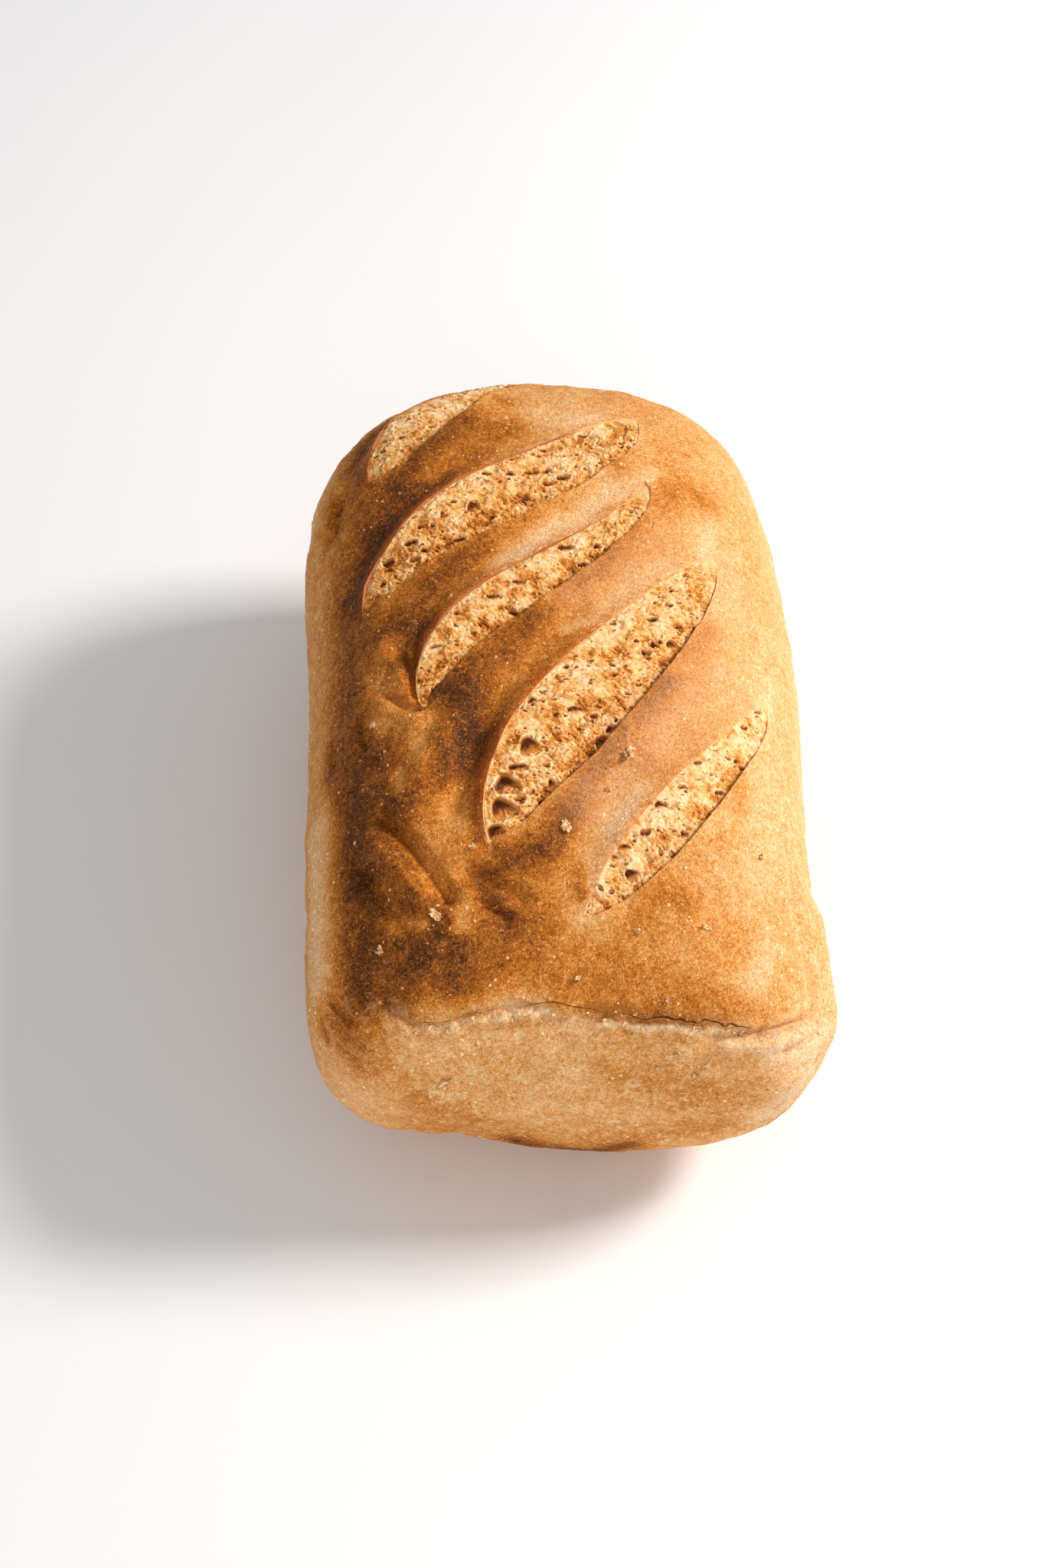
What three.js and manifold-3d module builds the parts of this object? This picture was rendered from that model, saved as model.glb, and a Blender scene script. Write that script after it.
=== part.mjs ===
// A white bread loaf, baked in a tin and slashed five times before the oven.
// Millimetres, +Z up. The loaf rests on its flat foot at z = 0, with the origin in the middle of the
// foot. +Y runs along the loaf from its near end, which has the torn crease, to its far end.

import * as THREE from 'three';
import { mergeVertices } from 'three/addons/utils/BufferGeometryUtils.js';
import Module from 'manifold-3d';

// ---- Size of the dough body ---------------------------------------------------------------------

const HALF_WIDTH = 64;
const HALF_LENGTH = 109;
const BELT_HEIGHT = 46.5; // the level where the sides stand out furthest
const DOME_RISE = 57.5; // from the belt to the top of the dome
const DOME_TILT = 0.04; // the far half of the dome rose a little higher
const FOOT_INSET = 6.5; // how far the sides lean in at the foot
const FOOT_FLAT = 1.5; // how much of the rounded bottom is pressed flat by its own weight

// How square the loaf is: 2 is a circle, higher numbers are squarer with tighter corners.
// Seen from above, at three levels, and seen from the side, where the dome curves over.
const NEAR_PLAN = { foot: 2.4, belt: 8, top: 3.75 };
const FAR_PLAN = { foot: 4, belt: 4.2, top: 3.9 };
const DOME_PROFILE = { side: 3, near: 2.7, far: 3.5 };
const FOOT_PROFILE = 5.2;

// Uneven swells where the dough rose more than elsewhere, or less: where, how wide and how much.
const SWELLS = [
  { at: [61, -87, 50], spread: 26, rise: 4 }, // near right shoulder
  { at: [0, 104, 80], spread: 35, rise: 4.6 }, // far end
  { at: [64, 11, 60], spread: 40, rise: 2.5 }, // right flank
  { at: [-32, -109, 8], spread: 30, rise: -6.5 }, // near left foot, which stayed thin
  { at: [54, -98, 18], spread: 20, rise: 3.5 }, // near right foot
];
const SWELL_CENTRE = new THREE.Vector3(0, 0, 45);
const SWELL_SHARPNESS = 1.5;

// ---- Slashes and crease -------------------------------------------------------------------------

const CRUST_THICKNESS = 2.2; // a slash opens the crust down to the crumb

// Each slash is a leaf seen from above, from its lower left tip to its upper right tip. Its left and
// right edges bow away from the straight line between the tips: by the first number in the half
// next to the first tip, changing to the second number towards the other tip.
const SLASHES = [
  { from: [-47, 56], to: [0, 102], left: [14, 15], right: [7.3, -3.9] },
  { from: [-48.5, 10.3], to: [23.9, 77.4], left: [15.7, 5.9], right: [1.5, 19.9] },
  { from: [-34, -26], to: [27.7, 54.4], left: [20.4, -5], right: [-2.5, 14.3] },
  { from: [-17.7, -67.1], to: [41.2, 25.2], left: [19, 4.4], right: [9.3, 13.7] },
  { from: [4.2, -85.3], to: [52.9, -14.2], left: [5.3, -3.9], right: [11.4, 11] },
];
const LEAF_FULLNESS = 0.8; // below 1 the leaf is blunter than a parabola
const LEAF_STEPS = 14;
const CUT_BOTTOM = 60;
const CUT_TOP = 125;

// The crease is torn across the near end, just under the dome, and sinks towards the right corner.
const CREASE_DEPTH = 1.8;
const CREASE_SIDES = 6;
const CREASE_STEPS = 20;
const CREASE_ROUTE = [
  [-44, -99, 74.9], [-36, -103.2, 72.6], [-18.5, -102, 75], [-4, -100.9, 76.4], [10.5, -102.7, 74.2],
  [25, -103.9, 72.5], [37, -105.2, 69.3], [47.5, -104.6, 66.7], [55.3, -101.5, 63.6],
];

// ---- Dough body ---------------------------------------------------------------------------------

const STEPS_ACROSS = 24;
const STEPS_ALONG = 40;
const STEPS_UP = 12;

const mix = THREE.MathUtils.lerp;
const ease = (t) => THREE.MathUtils.smoothstep(t, 0, 1);

// Squareness of the plan outline at a level, from -1 at the foot through 0 at the belt to 1 on top.
function planSquareness({ foot, belt, top }, level) {
  return level < 0 ? mix(foot, belt, ease(level + 1)) : mix(belt, top, ease(level));
}

// Squareness of the dome's profile, where endward is 0 on a side of the loaf and 1 on an end.
function domeSquareness(endward, far) {
  return mix(DOME_PROFILE.side, mix(DOME_PROFILE.near, DOME_PROFILE.far, far), endward);
}

// Moves one point of a cube, -1 to 1 each way, to where it lies on the dough. skin is how far
// inside the crust the result lies.
function shapePoint(point, skin) {
  const { x: across, y: along, z: level } = point;
  const far = ease((along + 1) / 2);
  const plan = mix(planSquareness(NEAR_PLAN, level), planSquareness(FAR_PLAN, level), far);
  const outline = (Math.abs(across) ** plan + Math.abs(along) ** plan) ** (1 / plan);
  const endward = along ** 4 / (across ** 4 + along ** 4 + Number.EPSILON);
  const profile = level > 0 ? domeSquareness(endward, far) : FOOT_PROFILE;
  point.divideScalar((outline ** profile + Math.abs(level) ** profile) ** (1 / profile));

  const rise = point.z > 0 ? (DOME_RISE - skin) * (1 + DOME_TILT * point.y) : BELT_HEIGHT;
  const height = BELT_HEIGHT + rise * point.z;
  const inset = skin + FOOT_INSET * Math.max(0, 1 - height / BELT_HEIGHT);
  point.set(point.x * (HALF_WIDTH - inset), point.y * (HALF_LENGTH - inset), height);

  const start = point.clone();
  const outward = start.clone().sub(SWELL_CENTRE);
  outward.y *= HALF_WIDTH / HALF_LENGTH;
  outward.normalize();
  for (const { at, spread, rise: amount } of SWELLS) {
    const distance = start.distanceTo(new THREE.Vector3(...at)) / spread;
    point.addScaledVector(outward, amount * Math.exp(-SWELL_SHARPNESS * distance ** 2));
  }
  point.z = Math.max(0, point.z - FOOT_FLAT);
}

function doughBody(skin) {
  const body = new THREE.BoxGeometry(2, 2, 2, STEPS_ACROSS, STEPS_ALONG, STEPS_UP);
  const places = body.getAttribute('position');
  const point = new THREE.Vector3();
  for (let i = 0; i < places.count; i++) {
    point.fromBufferAttribute(places, i);
    shapePoint(point, skin);
    places.setXYZ(i, point.x, point.y, point.z);
  }
  return body;
}

// ---- Cutters ------------------------------------------------------------------------------------

// A point on one edge of a leaf: t runs from its first tip to its second, side is 1 for the left
// edge and -1 for the right one.
function leafPoint(from, to, [startBow, endBow], side, t) {
  const chord = to.clone().sub(from);
  const leftwards = new THREE.Vector2(-chord.y, chord.x).normalize();
  const width = mix(startBow, endBow, t) * (4 * t * (1 - t)) ** LEAF_FULLNESS;
  return from.clone().addScaledVector(chord, t).addScaledVector(leftwards, side * width);
}

function slashCutter({ from, to, left, right }) {
  const start = new THREE.Vector2(...from);
  const end = new THREE.Vector2(...to);
  const outline = [];
  for (let i = 0; i < LEAF_STEPS; i++) {
    outline.push(leafPoint(start, end, right, -1, i / LEAF_STEPS));
  }
  for (let i = LEAF_STEPS; i > 0; i--) {
    outline.push(leafPoint(start, end, left, 1, i / LEAF_STEPS));
  }
  const cutter = new THREE.ExtrudeGeometry(new THREE.Shape(outline), {
    depth: CUT_TOP - CUT_BOTTOM,
    bevelEnabled: false,
  });
  return cutter.translate(0, 0, CUT_BOTTOM);
}

// A thin rod that runs half sunk in the crust along the crease.
function creaseCutter() {
  const section = new THREE.Shape();
  for (let i = 0; i < CREASE_SIDES; i++) {
    const angle = (2 * Math.PI * i) / CREASE_SIDES;
    const corner = [CREASE_DEPTH * Math.cos(angle), CREASE_DEPTH * Math.sin(angle)];
    if (i === 0) section.moveTo(...corner);
    else section.lineTo(...corner);
  }
  const route = new THREE.CatmullRomCurve3(CREASE_ROUTE.map((place) => new THREE.Vector3(...place)));
  return new THREE.ExtrudeGeometry(section, {
    steps: CREASE_STEPS,
    extrudePath: route,
    bevelEnabled: false,
  });
}

// ---- Joining and cutting ------------------------------------------------------------------------

const wasm = await Module();
wasm.setup();

function toSolid(geometry) {
  geometry.deleteAttribute('normal');
  geometry.deleteAttribute('uv');
  const merged = mergeVertices(geometry);
  return new wasm.Manifold(
    new wasm.Mesh({
      numProp: 3,
      vertProperties: new Float32Array(merged.getAttribute('position').array),
      triVerts: new Uint32Array(merged.getIndex().array),
    }),
  );
}

function toGeometry(solid) {
  const { vertProperties, triVerts } = solid.getMesh();
  const geometry = new THREE.BufferGeometry();
  geometry.setAttribute('position', new THREE.BufferAttribute(new Float32Array(vertProperties), 3));
  geometry.setIndex(new THREE.BufferAttribute(new Uint32Array(triVerts), 1));
  geometry.computeVertexNormals();
  return geometry;
}

// ---- The loaf -----------------------------------------------------------------------------------

const outside = doughBody(0);
outside.computeBoundingBox();
const middle = outside.boundingBox.getCenter(new THREE.Vector3());
const inside = doughBody(CRUST_THICKNESS);
for (const body of [outside, inside]) {
  body.translate(-middle.x, -middle.y, 0);
}

const crumb = toSolid(inside);
let loafSolid = toSolid(outside);
for (const slash of SLASHES) {
  const throughCrust = toSolid(slashCutter(slash)).subtract(crumb);
  loafSolid = loafSolid.subtract(throughCrust);
}
loafSolid = loafSolid.subtract(toSolid(creaseCutter()));

const crust = new THREE.MeshStandardMaterial({ color: 0xc68a4b, roughness: 0.85, metalness: 0 });
const loafMesh = new THREE.Mesh(toGeometry(loafSolid), crust);
loafMesh.name = 'loaf';

const whiteBreadLoaf = new THREE.Group();
whiteBreadLoaf.add(loafMesh);

export default whiteBreadLoaf;
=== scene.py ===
# %% [markdown]
# # A white bread loaf
# This lesson rebuilds one real loaf: an oblong of dough, baked to a domed crust, with five slantwise
# slashes that opened down to the crumb and a torn crease across the near end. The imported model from
# the CAD step is the frame: it gives the size and place, and everything below is made around it.

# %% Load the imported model
import math
from functools import partial

import bmesh
import bpy
import numpy as np
from mathutils import Matrix, Vector
from mathutils.bvhtree import BVHTree


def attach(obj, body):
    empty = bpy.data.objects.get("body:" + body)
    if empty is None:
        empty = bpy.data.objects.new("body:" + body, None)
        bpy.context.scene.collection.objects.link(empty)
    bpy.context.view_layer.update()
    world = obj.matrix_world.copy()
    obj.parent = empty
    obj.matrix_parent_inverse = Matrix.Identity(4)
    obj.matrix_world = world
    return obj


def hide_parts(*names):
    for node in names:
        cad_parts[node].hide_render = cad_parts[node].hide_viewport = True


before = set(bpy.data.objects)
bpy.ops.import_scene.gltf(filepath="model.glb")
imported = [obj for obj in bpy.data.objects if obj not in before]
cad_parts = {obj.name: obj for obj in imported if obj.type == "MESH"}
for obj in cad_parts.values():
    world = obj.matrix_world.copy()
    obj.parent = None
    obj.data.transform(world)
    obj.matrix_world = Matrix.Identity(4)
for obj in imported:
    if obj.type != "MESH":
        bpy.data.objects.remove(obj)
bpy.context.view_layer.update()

MM = 0.001

# %% [markdown]
# ## The camera
# The photograph looks down at the near end from about 50 degrees above the horizon. A camera could be
# placed by eye, but here its height, turn, distance and lens were fitted to the loaf's outline, so the
# render can be laid over the photograph.

# %% Place the camera
CAMERA_TURN = math.radians(-1.91)
CAMERA_HEIGHT = math.radians(50)
CAMERA_ROLL = math.radians(0.35)
CAMERA_DISTANCE = 768 * MM
CAMERA_LENS = 66.3
LOOK_AT = Vector((-7.97, -8.28, 46.7)) * MM


def place_camera():
    level = math.cos(CAMERA_HEIGHT)
    back = Vector((math.sin(CAMERA_TURN) * level, -math.cos(CAMERA_TURN) * level, math.sin(CAMERA_HEIGHT)))
    right = Vector((0, 0, 1)).cross(back).normalized()
    up = back.cross(right)
    turned_right = right * math.cos(CAMERA_ROLL) + up * math.sin(CAMERA_ROLL)
    turned_up = up * math.cos(CAMERA_ROLL) - right * math.sin(CAMERA_ROLL)
    camera = bpy.data.objects.new("camera", bpy.data.cameras.new("camera"))
    bpy.context.collection.objects.link(camera)
    camera.matrix_world = Matrix.Translation(LOOK_AT + back * CAMERA_DISTANCE) @ Matrix(
        (turned_right, turned_up, back)
    ).transposed().to_4x4()
    camera.data.lens = CAMERA_LENS
    camera.data.sensor_width = 36
    bpy.context.scene.camera = camera
    return camera


camera = place_camera()
print("camera at, mm:", [round(value / MM) for value in camera.location])

# %% [markdown]
# ## Wiring helpers
# Materials and Geometry Nodes trees are both graphs of nodes. A few small helpers keep the later cells
# short: put adds a node with its settings and feeds, and the others are named for what they do to a
# number or a colour.

# %% Helpers for node trees


def put(tree, kind, feeds=None, **settings):
    """Adds a node. A feed is a plain value or another node's output."""
    node = tree.nodes.new(kind)
    for name, value in settings.items():
        setattr(node, name, value)
    for key, value in (feeds or {}).items():
        socket = node.inputs[key] if isinstance(key, int) else next(
            one for one in node.inputs if one.name == key and one.enabled
        )
        if isinstance(value, bpy.types.NodeSocket):
            tree.links.new(value, socket)
        else:
            socket.default_value = value
    return node


def reckon(tree, operation, *values, clamp=False):
    """A sum of numbers, such as ADD or MULTIPLY."""
    feeds = dict(enumerate(values))
    return put(tree, "ShaderNodeMath", feeds, operation=operation, use_clamp=clamp).outputs[0]


def plus(tree, one, other):
    return reckon(tree, "ADD", one, other)


def minus(tree, one, other):
    return reckon(tree, "SUBTRACT", one, other)


def times(tree, *values):
    """The product of two numbers or more."""
    product = values[0]
    for value in values[1:]:
        product = reckon(tree, "MULTIPLY", product, value)
    return product


def larger(tree, *values):
    """The largest of two numbers or more."""
    largest = values[0]
    for value in values[1:]:
        largest = reckon(tree, "MAXIMUM", largest, value)
    return largest


def stretch(tree, value, low, high, start=0.0, end=1.0, kind="SMOOTHSTEP"):
    """Turns values from low to high into start to end, and holds them there outside."""
    feeds = {0: value, 1: low, 2: high, 3: start, 4: end}
    return put(tree, "ShaderNodeMapRange", feeds, interpolation_type=kind).outputs[0]


def centred(tree, value, amount):
    """Turns 0 to 1 into minus to plus half of amount."""
    return times(tree, minus(tree, value, 0.5), amount)


def reckon_vector(tree, operation, one, other):
    """A sum of places or directions, such as ADD or MULTIPLY, part by part."""
    return put(tree, "ShaderNodeVectorMath", {0: one, 1: other}, operation=operation).outputs[0]


def scaled(tree, vector, factor):
    return put(tree, "ShaderNodeVectorMath", {0: vector, 3: factor}, operation="SCALE").outputs[0]


def mottle(tree, place, size, detail=3.0, roughness=0.55, warp=0.0, seed=0.0):
    """Cloudy noise from 0 to 1 whose blotches are about size millimetres across."""
    feeds = {
        "Vector": place, "W": seed, "Scale": 1 / size,
        "Detail": detail, "Roughness": roughness, "Distortion": warp,
    }
    return put(tree, "ShaderNodeTexNoise", feeds, noise_dimensions="4D").outputs[0]


def shade(red, green, blue):
    """A colour as it looks on screen, 0 to 255, turned into the linear values that nodes take."""
    screen = [value / 255 for value in (red, green, blue)]
    return tuple(v / 12.92 if v <= 0.04045 else ((v + 0.055) / 1.055) ** 2.4 for v in screen) + (1.0,)


def paint(tree, amount, under, over, way="MIX"):
    """Lays one colour over another by amount."""
    feeds = {0: amount, 6: under, 7: over}
    return put(tree, "ShaderNodeMix", feeds, data_type="RGBA", blend_type=way).outputs[2]


def new_tree(name, inputs):
    """A Geometry Nodes tree with named inputs. Gives the tree and its group input node."""
    tree = bpy.data.node_groups.new(name, "GeometryNodeTree")
    tree.interface.new_socket("Geometry", in_out="INPUT", socket_type="NodeSocketGeometry")
    for label, kind in inputs.items():
        tree.interface.new_socket(label, in_out="INPUT", socket_type="NodeSocket" + kind)
    tree.interface.new_socket("Geometry", in_out="OUTPUT", socket_type="NodeSocketGeometry")
    return tree, tree.nodes.new("NodeGroupInput")


def end_tree(tree, geometry, material):
    """Ends a tree as every tree here ends: real faces, with their material."""
    real = put(tree, "GeometryNodeRealizeInstances", {"Geometry": geometry})
    painted = put(tree, "GeometryNodeSetMaterial", {"Geometry": real.outputs[0], "Material": material})
    put(tree, "NodeGroupOutput", {0: painted.outputs[0]})


def grow(piece, tree, **values):
    """Runs a tree on a piece and keeps the result as its plain mesh."""
    modifier = piece.modifiers.new(tree.name, "NODES")
    modifier.node_group = tree
    for item in tree.interface.items_tree:
        if item.item_type == "SOCKET" and item.in_out == "INPUT" and item.name in values:
            modifier[item.identifier] = values[item.name]
    seen = piece.evaluated_get(bpy.context.evaluated_depsgraph_get())
    made = bpy.data.meshes.new_from_object(seen)
    made.name = piece.name
    piece.modifiers.clear()
    piece.data = made
    return piece


def new_piece(name, corners, faces):
    """A mesh object from corners in millimetres."""
    mesh = bpy.data.meshes.new(name)
    mesh.from_pydata(np.asarray(corners) * MM, [], [tuple(face) for face in faces])
    mesh.shade_smooth()
    piece = bpy.data.objects.new(name, mesh)
    bpy.context.collection.objects.link(piece)
    return piece


def corners_of(piece):
    """A mesh's corners and outward directions, in millimetres."""
    mesh = piece.data
    corners = np.empty(len(mesh.vertices) * 3)
    mesh.vertices.foreach_get("co", corners)
    outward = np.empty(len(mesh.vertices) * 3)
    mesh.vertex_normals.foreach_get("vector", outward)
    return corners.reshape(-1, 3) / MM, outward.reshape(-1, 3)


def write_on(piece, **values):
    """Stores numbers, or directions, on a piece's corners for its material or tree to read."""
    for name, value in values.items():
        kind = "FLOAT_VECTOR" if value.ndim == 2 else "FLOAT"
        note = piece.data.attributes.new(name, kind, "POINT")
        note.data.foreach_set("vector" if value.ndim == 2 else "value", value.astype(np.float32).ravel())


def triangles(piece):
    piece.data.calc_loop_triangles()
    return len(piece.data.loop_triangles)


# %% [markdown]
# ## The dough body
# A loaf is a soft box: flat underneath, domed above, squarer in some places than in others. It could be
# sculpted by hand, but one rule makes it repeatable: every corner of a gridded cube is moved to where
# it lies on the loaf, and a few uneven swells are added where the dough rose more or less.

# %% Shape the dough
HALF_WIDTH = 64
HALF_LENGTH = 109
BELT_HEIGHT = 46.5  # where the sides stand out furthest
DOME_RISE = 57.5
DOME_TILT = 0.04
FOOT_INSET = 6.5
FOOT_FLAT = 1.5
NEAR_PLAN = (2.4, 8, 3.75)  # squareness at the foot, belt and top; 2 is a circle
FAR_PLAN = (4, 4.2, 3.9)
DOME_SIDE, DOME_NEAR, DOME_FAR = 3, 2.7, 3.5
FOOT_PROFILE = 5.2
SWELLS = {  # place, reach and amount, mm
    "near right shoulder": ((61, -87, 50), 26, 4),
    "far end": ((0, 104, 80), 35, 5.0),
    "far left shoulder": ((-58, 62, 80), 40, 4.0),
    "right flank": ((64, 11, 60), 40, 2.5),
    "near left foot": ((-32, -109, 8), 30, -6.5),
    "near right foot": ((54, -98, 18), 20, 3.5),
}
SWELL_LEVEL = 45
CUBE_STEPS = (84, 142, 60)  # faces across, along and up


def ease(value):
    held = np.clip(value, 0, 1)
    return held * held * (3 - 2 * held)


def outward_from_middle(points):
    """Which way is out, for points on or near the loaf."""
    out = points * (1, HALF_WIDTH / HALF_LENGTH, 1) - (0, 0, SWELL_LEVEL)
    return out / np.linalg.norm(out, axis=1, keepdims=True)


def shape_dough(cube):
    """Moves points of a cube, -1 to 1 each way, to where they lie on the loaf."""
    across, along, level = cube.T
    far = ease((along + 1) / 2)

    def plan_at(foot, belt, top):
        low = foot + (belt - foot) * ease(level + 1)
        high = belt + (top - belt) * ease(level)
        return np.where(level < 0, low, high)

    plan = plan_at(*NEAR_PLAN) * (1 - far) + plan_at(*FAR_PLAN) * far
    outline = (abs(across) ** plan + abs(along) ** plan) ** (1 / plan)
    endward = along**4 / (across**4 + along**4 + 1e-12)
    dome = DOME_SIDE + (DOME_NEAR + (DOME_FAR - DOME_NEAR) * far - DOME_SIDE) * endward
    profile = np.where(level > 0, dome, FOOT_PROFILE)
    x, y, z = cube.T / (outline**profile + abs(level) ** profile) ** (1 / profile)
    height = BELT_HEIGHT + np.where(level > 0, DOME_RISE * (1 + DOME_TILT * y), BELT_HEIGHT) * z
    inset = FOOT_INSET * np.clip(1 - height / BELT_HEIGHT, 0, 1)
    points = np.stack([x * (HALF_WIDTH - inset), y * (HALF_LENGTH - inset), height], 1)
    risen = points.copy()
    out = outward_from_middle(points)
    for place, reach, amount in SWELLS.values():
        gap = np.linalg.norm(points - place, axis=1) / reach
        risen += out * (amount * np.exp(-1.5 * gap**2))[:, None]
    risen[:, 2] = np.maximum(risen[:, 2] - FOOT_FLAT, 0)
    return risen


def gridded_cube(across, along, up):
    """Corners, -1 to 1, and four-sided faces of a cube's surface, with shared edges."""
    steps = (across, along, up)
    numbers, faces = {}, []
    for axis in range(3):
        first, second = (axis + 1) % 3, (axis + 2) % 3
        for end in (0, steps[axis]):
            for i in range(steps[first]):
                for j in range(steps[second]):
                    face = []
                    for di, dj in ((0, 0), (1, 0), (1, 1), (0, 1)):
                        place = [0, 0, 0]
                        place[axis], place[first], place[second] = end, i + di, j + dj
                        face.append(numbers.setdefault(tuple(place), len(numbers)))
                    faces.append(face if end else face[::-1])
    return np.array(list(numbers)) / steps * 2 - 1, faces


cube, cube_faces = gridded_cube(*CUBE_STEPS)
dough = shape_dough(cube)
MIDDLE = np.append((dough.max(0) + dough.min(0))[:2] / 2, 0)
body_tree = BVHTree.FromPolygons((dough - MIDDLE).tolist(), cube_faces)
print("dough body, mm:", np.ptp(dough, axis=0).round(1), "middle moved by", MIDDLE.round(2))

# %% [markdown]
# ## Where the slashes run
# A baker slashes the dough so that it opens where wanted. Seen from above each opened slash is a leaf
# between two tips, and its edges bow out by different amounts. The leaf is laid on the body by dropping
# points from above, so the same outline serves to cut the crust and to make the crumb inside it.

# %% Lay out the slashes
SLASH_TABLE = [  # tips, bow of the left and of the right edge at either end, in mm, ear and rim
    ((-47, 56), (0, 102), (13, 15), (7.3, -3.9), 1.1, 0.1),
    ((-48.5, 10.3), (23.9, 77.4), (15.7, 5.5), (1.5, 18.5), 1.0, 0.3),
    ((-34, -26), (25.5, 49), (20.4, -4.5), (-2.5, 13.6), 1.0, 0.5),
    ((-17.7, -67.1), (41.2, 25.2), (19, 4.0), (9.3, 12.6), 1.0, 0.9),
    ((4.2, -85.3), (52.0, -17.0), (5.3, -3.5), (11.4, 10), 0.5, 0.75),
]
SLASHES = [  # the ear is how far the left edge lifted, the rim how pale its very edge stayed
    {"tips": (near, far), "left": left, "right": right, "ear": ear, "rim": rim}
    for near, far, left, right, ear, rim in SLASH_TABLE
]
NEAR_TIP, FAR_TIP = 0.8, 0.55  # how pointed the tips are: 1 is sharp, 0 is square


def bow(bows, share):
    held = np.clip(share, 0, 1)
    pointed = NEAR_TIP + (FAR_TIP - NEAR_TIP) * ease(held)
    return (bows[0] + (bows[1] - bows[0]) * held) * (4 * held * (1 - held)) ** pointed


def drop_on_body(flat):
    """Drops points (x, y) from above onto the dough body."""
    landed = np.empty((len(flat), 3))
    for i, (x, y) in enumerate(flat.tolist()):
        place = body_tree.ray_cast((x, y, 200), (0, 0, -1))[0]
        landed[i] = place if place else body_tree.find_nearest((x, y, 60))[0]
    return landed


def leaf_grid(slash, along, across, over=0.0, under_lip=0.0):
    """Points (x, y) of a leaf as along x across x 2. Its edges lie over mm outside the slash, and the
    right one under_lip mm further."""
    start, end = (np.array(tip, float) for tip in slash["tips"])
    chord = end - start
    length = np.linalg.norm(chord)
    leftwards = np.array([-chord[1], chord[0]]) / length
    share = np.linspace(-over / length, 1 + over / length, along)[:, None]
    left, right = bow(slash["left"], share) + over, -bow(slash["right"], share) - over - under_lip
    offset = right + (left - right) * np.linspace(0, 1, across)[None]
    return start + share[..., None] * chord + offset[..., None] * leftwards, share, offset, length


def leaf_edge(slash, side, count=48):
    """One edge of a slash as points on the body: side 0 is the right edge, -1 the left one."""
    return drop_on_body(leaf_grid(slash, count, 2)[0][:, side])


for slash in SLASHES:
    slash["left edge"] = leaf_edge(slash, -1)
    slash["right edge"] = leaf_edge(slash, 0)
    print("slash from", slash["tips"][0], "length, mm:", round(leaf_grid(slash, 2, 2)[3]))

# %% [markdown]
# ## The crease
# Where the dome pulled away from the tinned lower part the crust tore, and the tear runs across the near
# end. Its route is a line of points on the loaf, wavered a little so that it is ragged like a real tear.
# A second, softer tear starts under its right end and runs round the corner; that one is only pressed.

# %% Lay out the crease
CREASE_ROUTE = [
    (-44, -99, 74.9), (-36, -103.2, 72.6), (-18.5, -102, 75), (-4, -100.9, 76.4), (10.5, -102.7, 74.2),
    (25, -103.9, 72.3), (31, -104.4, 71.4), (38, -104.4, 70.5), (44, -104.3, 68.7),
]
CORNER_TEAR = [
    (36, -106.2, 67.9), (41.6, -105.7, 67.6), (46.6, -104.6, 67.1), (51.5, -102.7, 66.2), (56.3, -100, 64),
    (60, -96.8, 61.4),
]
CREASE_POINTS = 160
CREASE_WANDER = 0.9  # how far the tear strays up and down, mm


def smooth_path(points, count):
    """A smooth line through points (Catmull-Rom)."""
    points = np.array(points, float)
    padded = np.vstack([2 * points[0] - points[1], points, 2 * points[-1] - points[-2]])
    share = np.linspace(0, len(points) - 1, count)
    i = np.minimum(share.astype(int), len(points) - 2)
    t = (share - i)[:, None]
    a, b, c, d = (padded[i + k] for k in range(4))
    return b + t * (c - a) / 2 + t**2 * (a - 2.5 * b + 2 * c - d / 2) + t**3 * (1.5 * (b - c) + (d - a) / 2)


def put_on_body(points):
    return np.array([body_tree.find_nearest(point)[0] for point in points.tolist()])


def smoothed(values):
    """Each value becomes the mean of itself and its two neighbours along a line."""
    return (np.roll(values, 1, 0) + values + np.roll(values, -1, 0)) / 3


crease = put_on_body(smooth_path(CREASE_ROUTE, CREASE_POINTS))
wander = np.random.default_rng(4).normal(size=(CREASE_POINTS, 1))
for _ in range(3):
    wander = smoothed(wander)
crease = put_on_body(crease + wander * (0, 0, CREASE_WANDER))
print("crease points:", len(crease))

# %% [markdown]
# ## A finer grid where the shape is fine
# The crust needs small faces only along slash edges, folds and the crease. So the cube's grid is split
# there, once round the folds and twice along the edges and the crease. That comes before it is shaped:
# new corners then land exactly on the loaf.

# %% Split the grid near the fine lines


def path_distance(points, path):
    """How far each point is from a line of points, and how far along it, 0 to 1, it lies."""
    path = np.array(path, float)
    best, share = np.full(len(points), 1e9), np.zeros(len(points))
    lengths = np.linalg.norm(np.diff(path, axis=0), axis=1)
    starts = np.concatenate([[0], np.cumsum(lengths)])
    for i, length in enumerate(lengths):
        step = path[i + 1] - path[i]
        along = np.clip((points - path[i]) @ step / length**2, 0, 1)
        gap = np.linalg.norm(points - path[i] - along[:, None] * step, axis=1)
        nearer = gap < best
        best[nearer] = gap[nearer]
        share[nearer] = ((starts[i] + along * length) / starts[-1])[nearer]
    return best, share


def nearest_of(points, paths):
    return np.min([path_distance(points, path)[0] for path in paths], axis=0)


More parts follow.
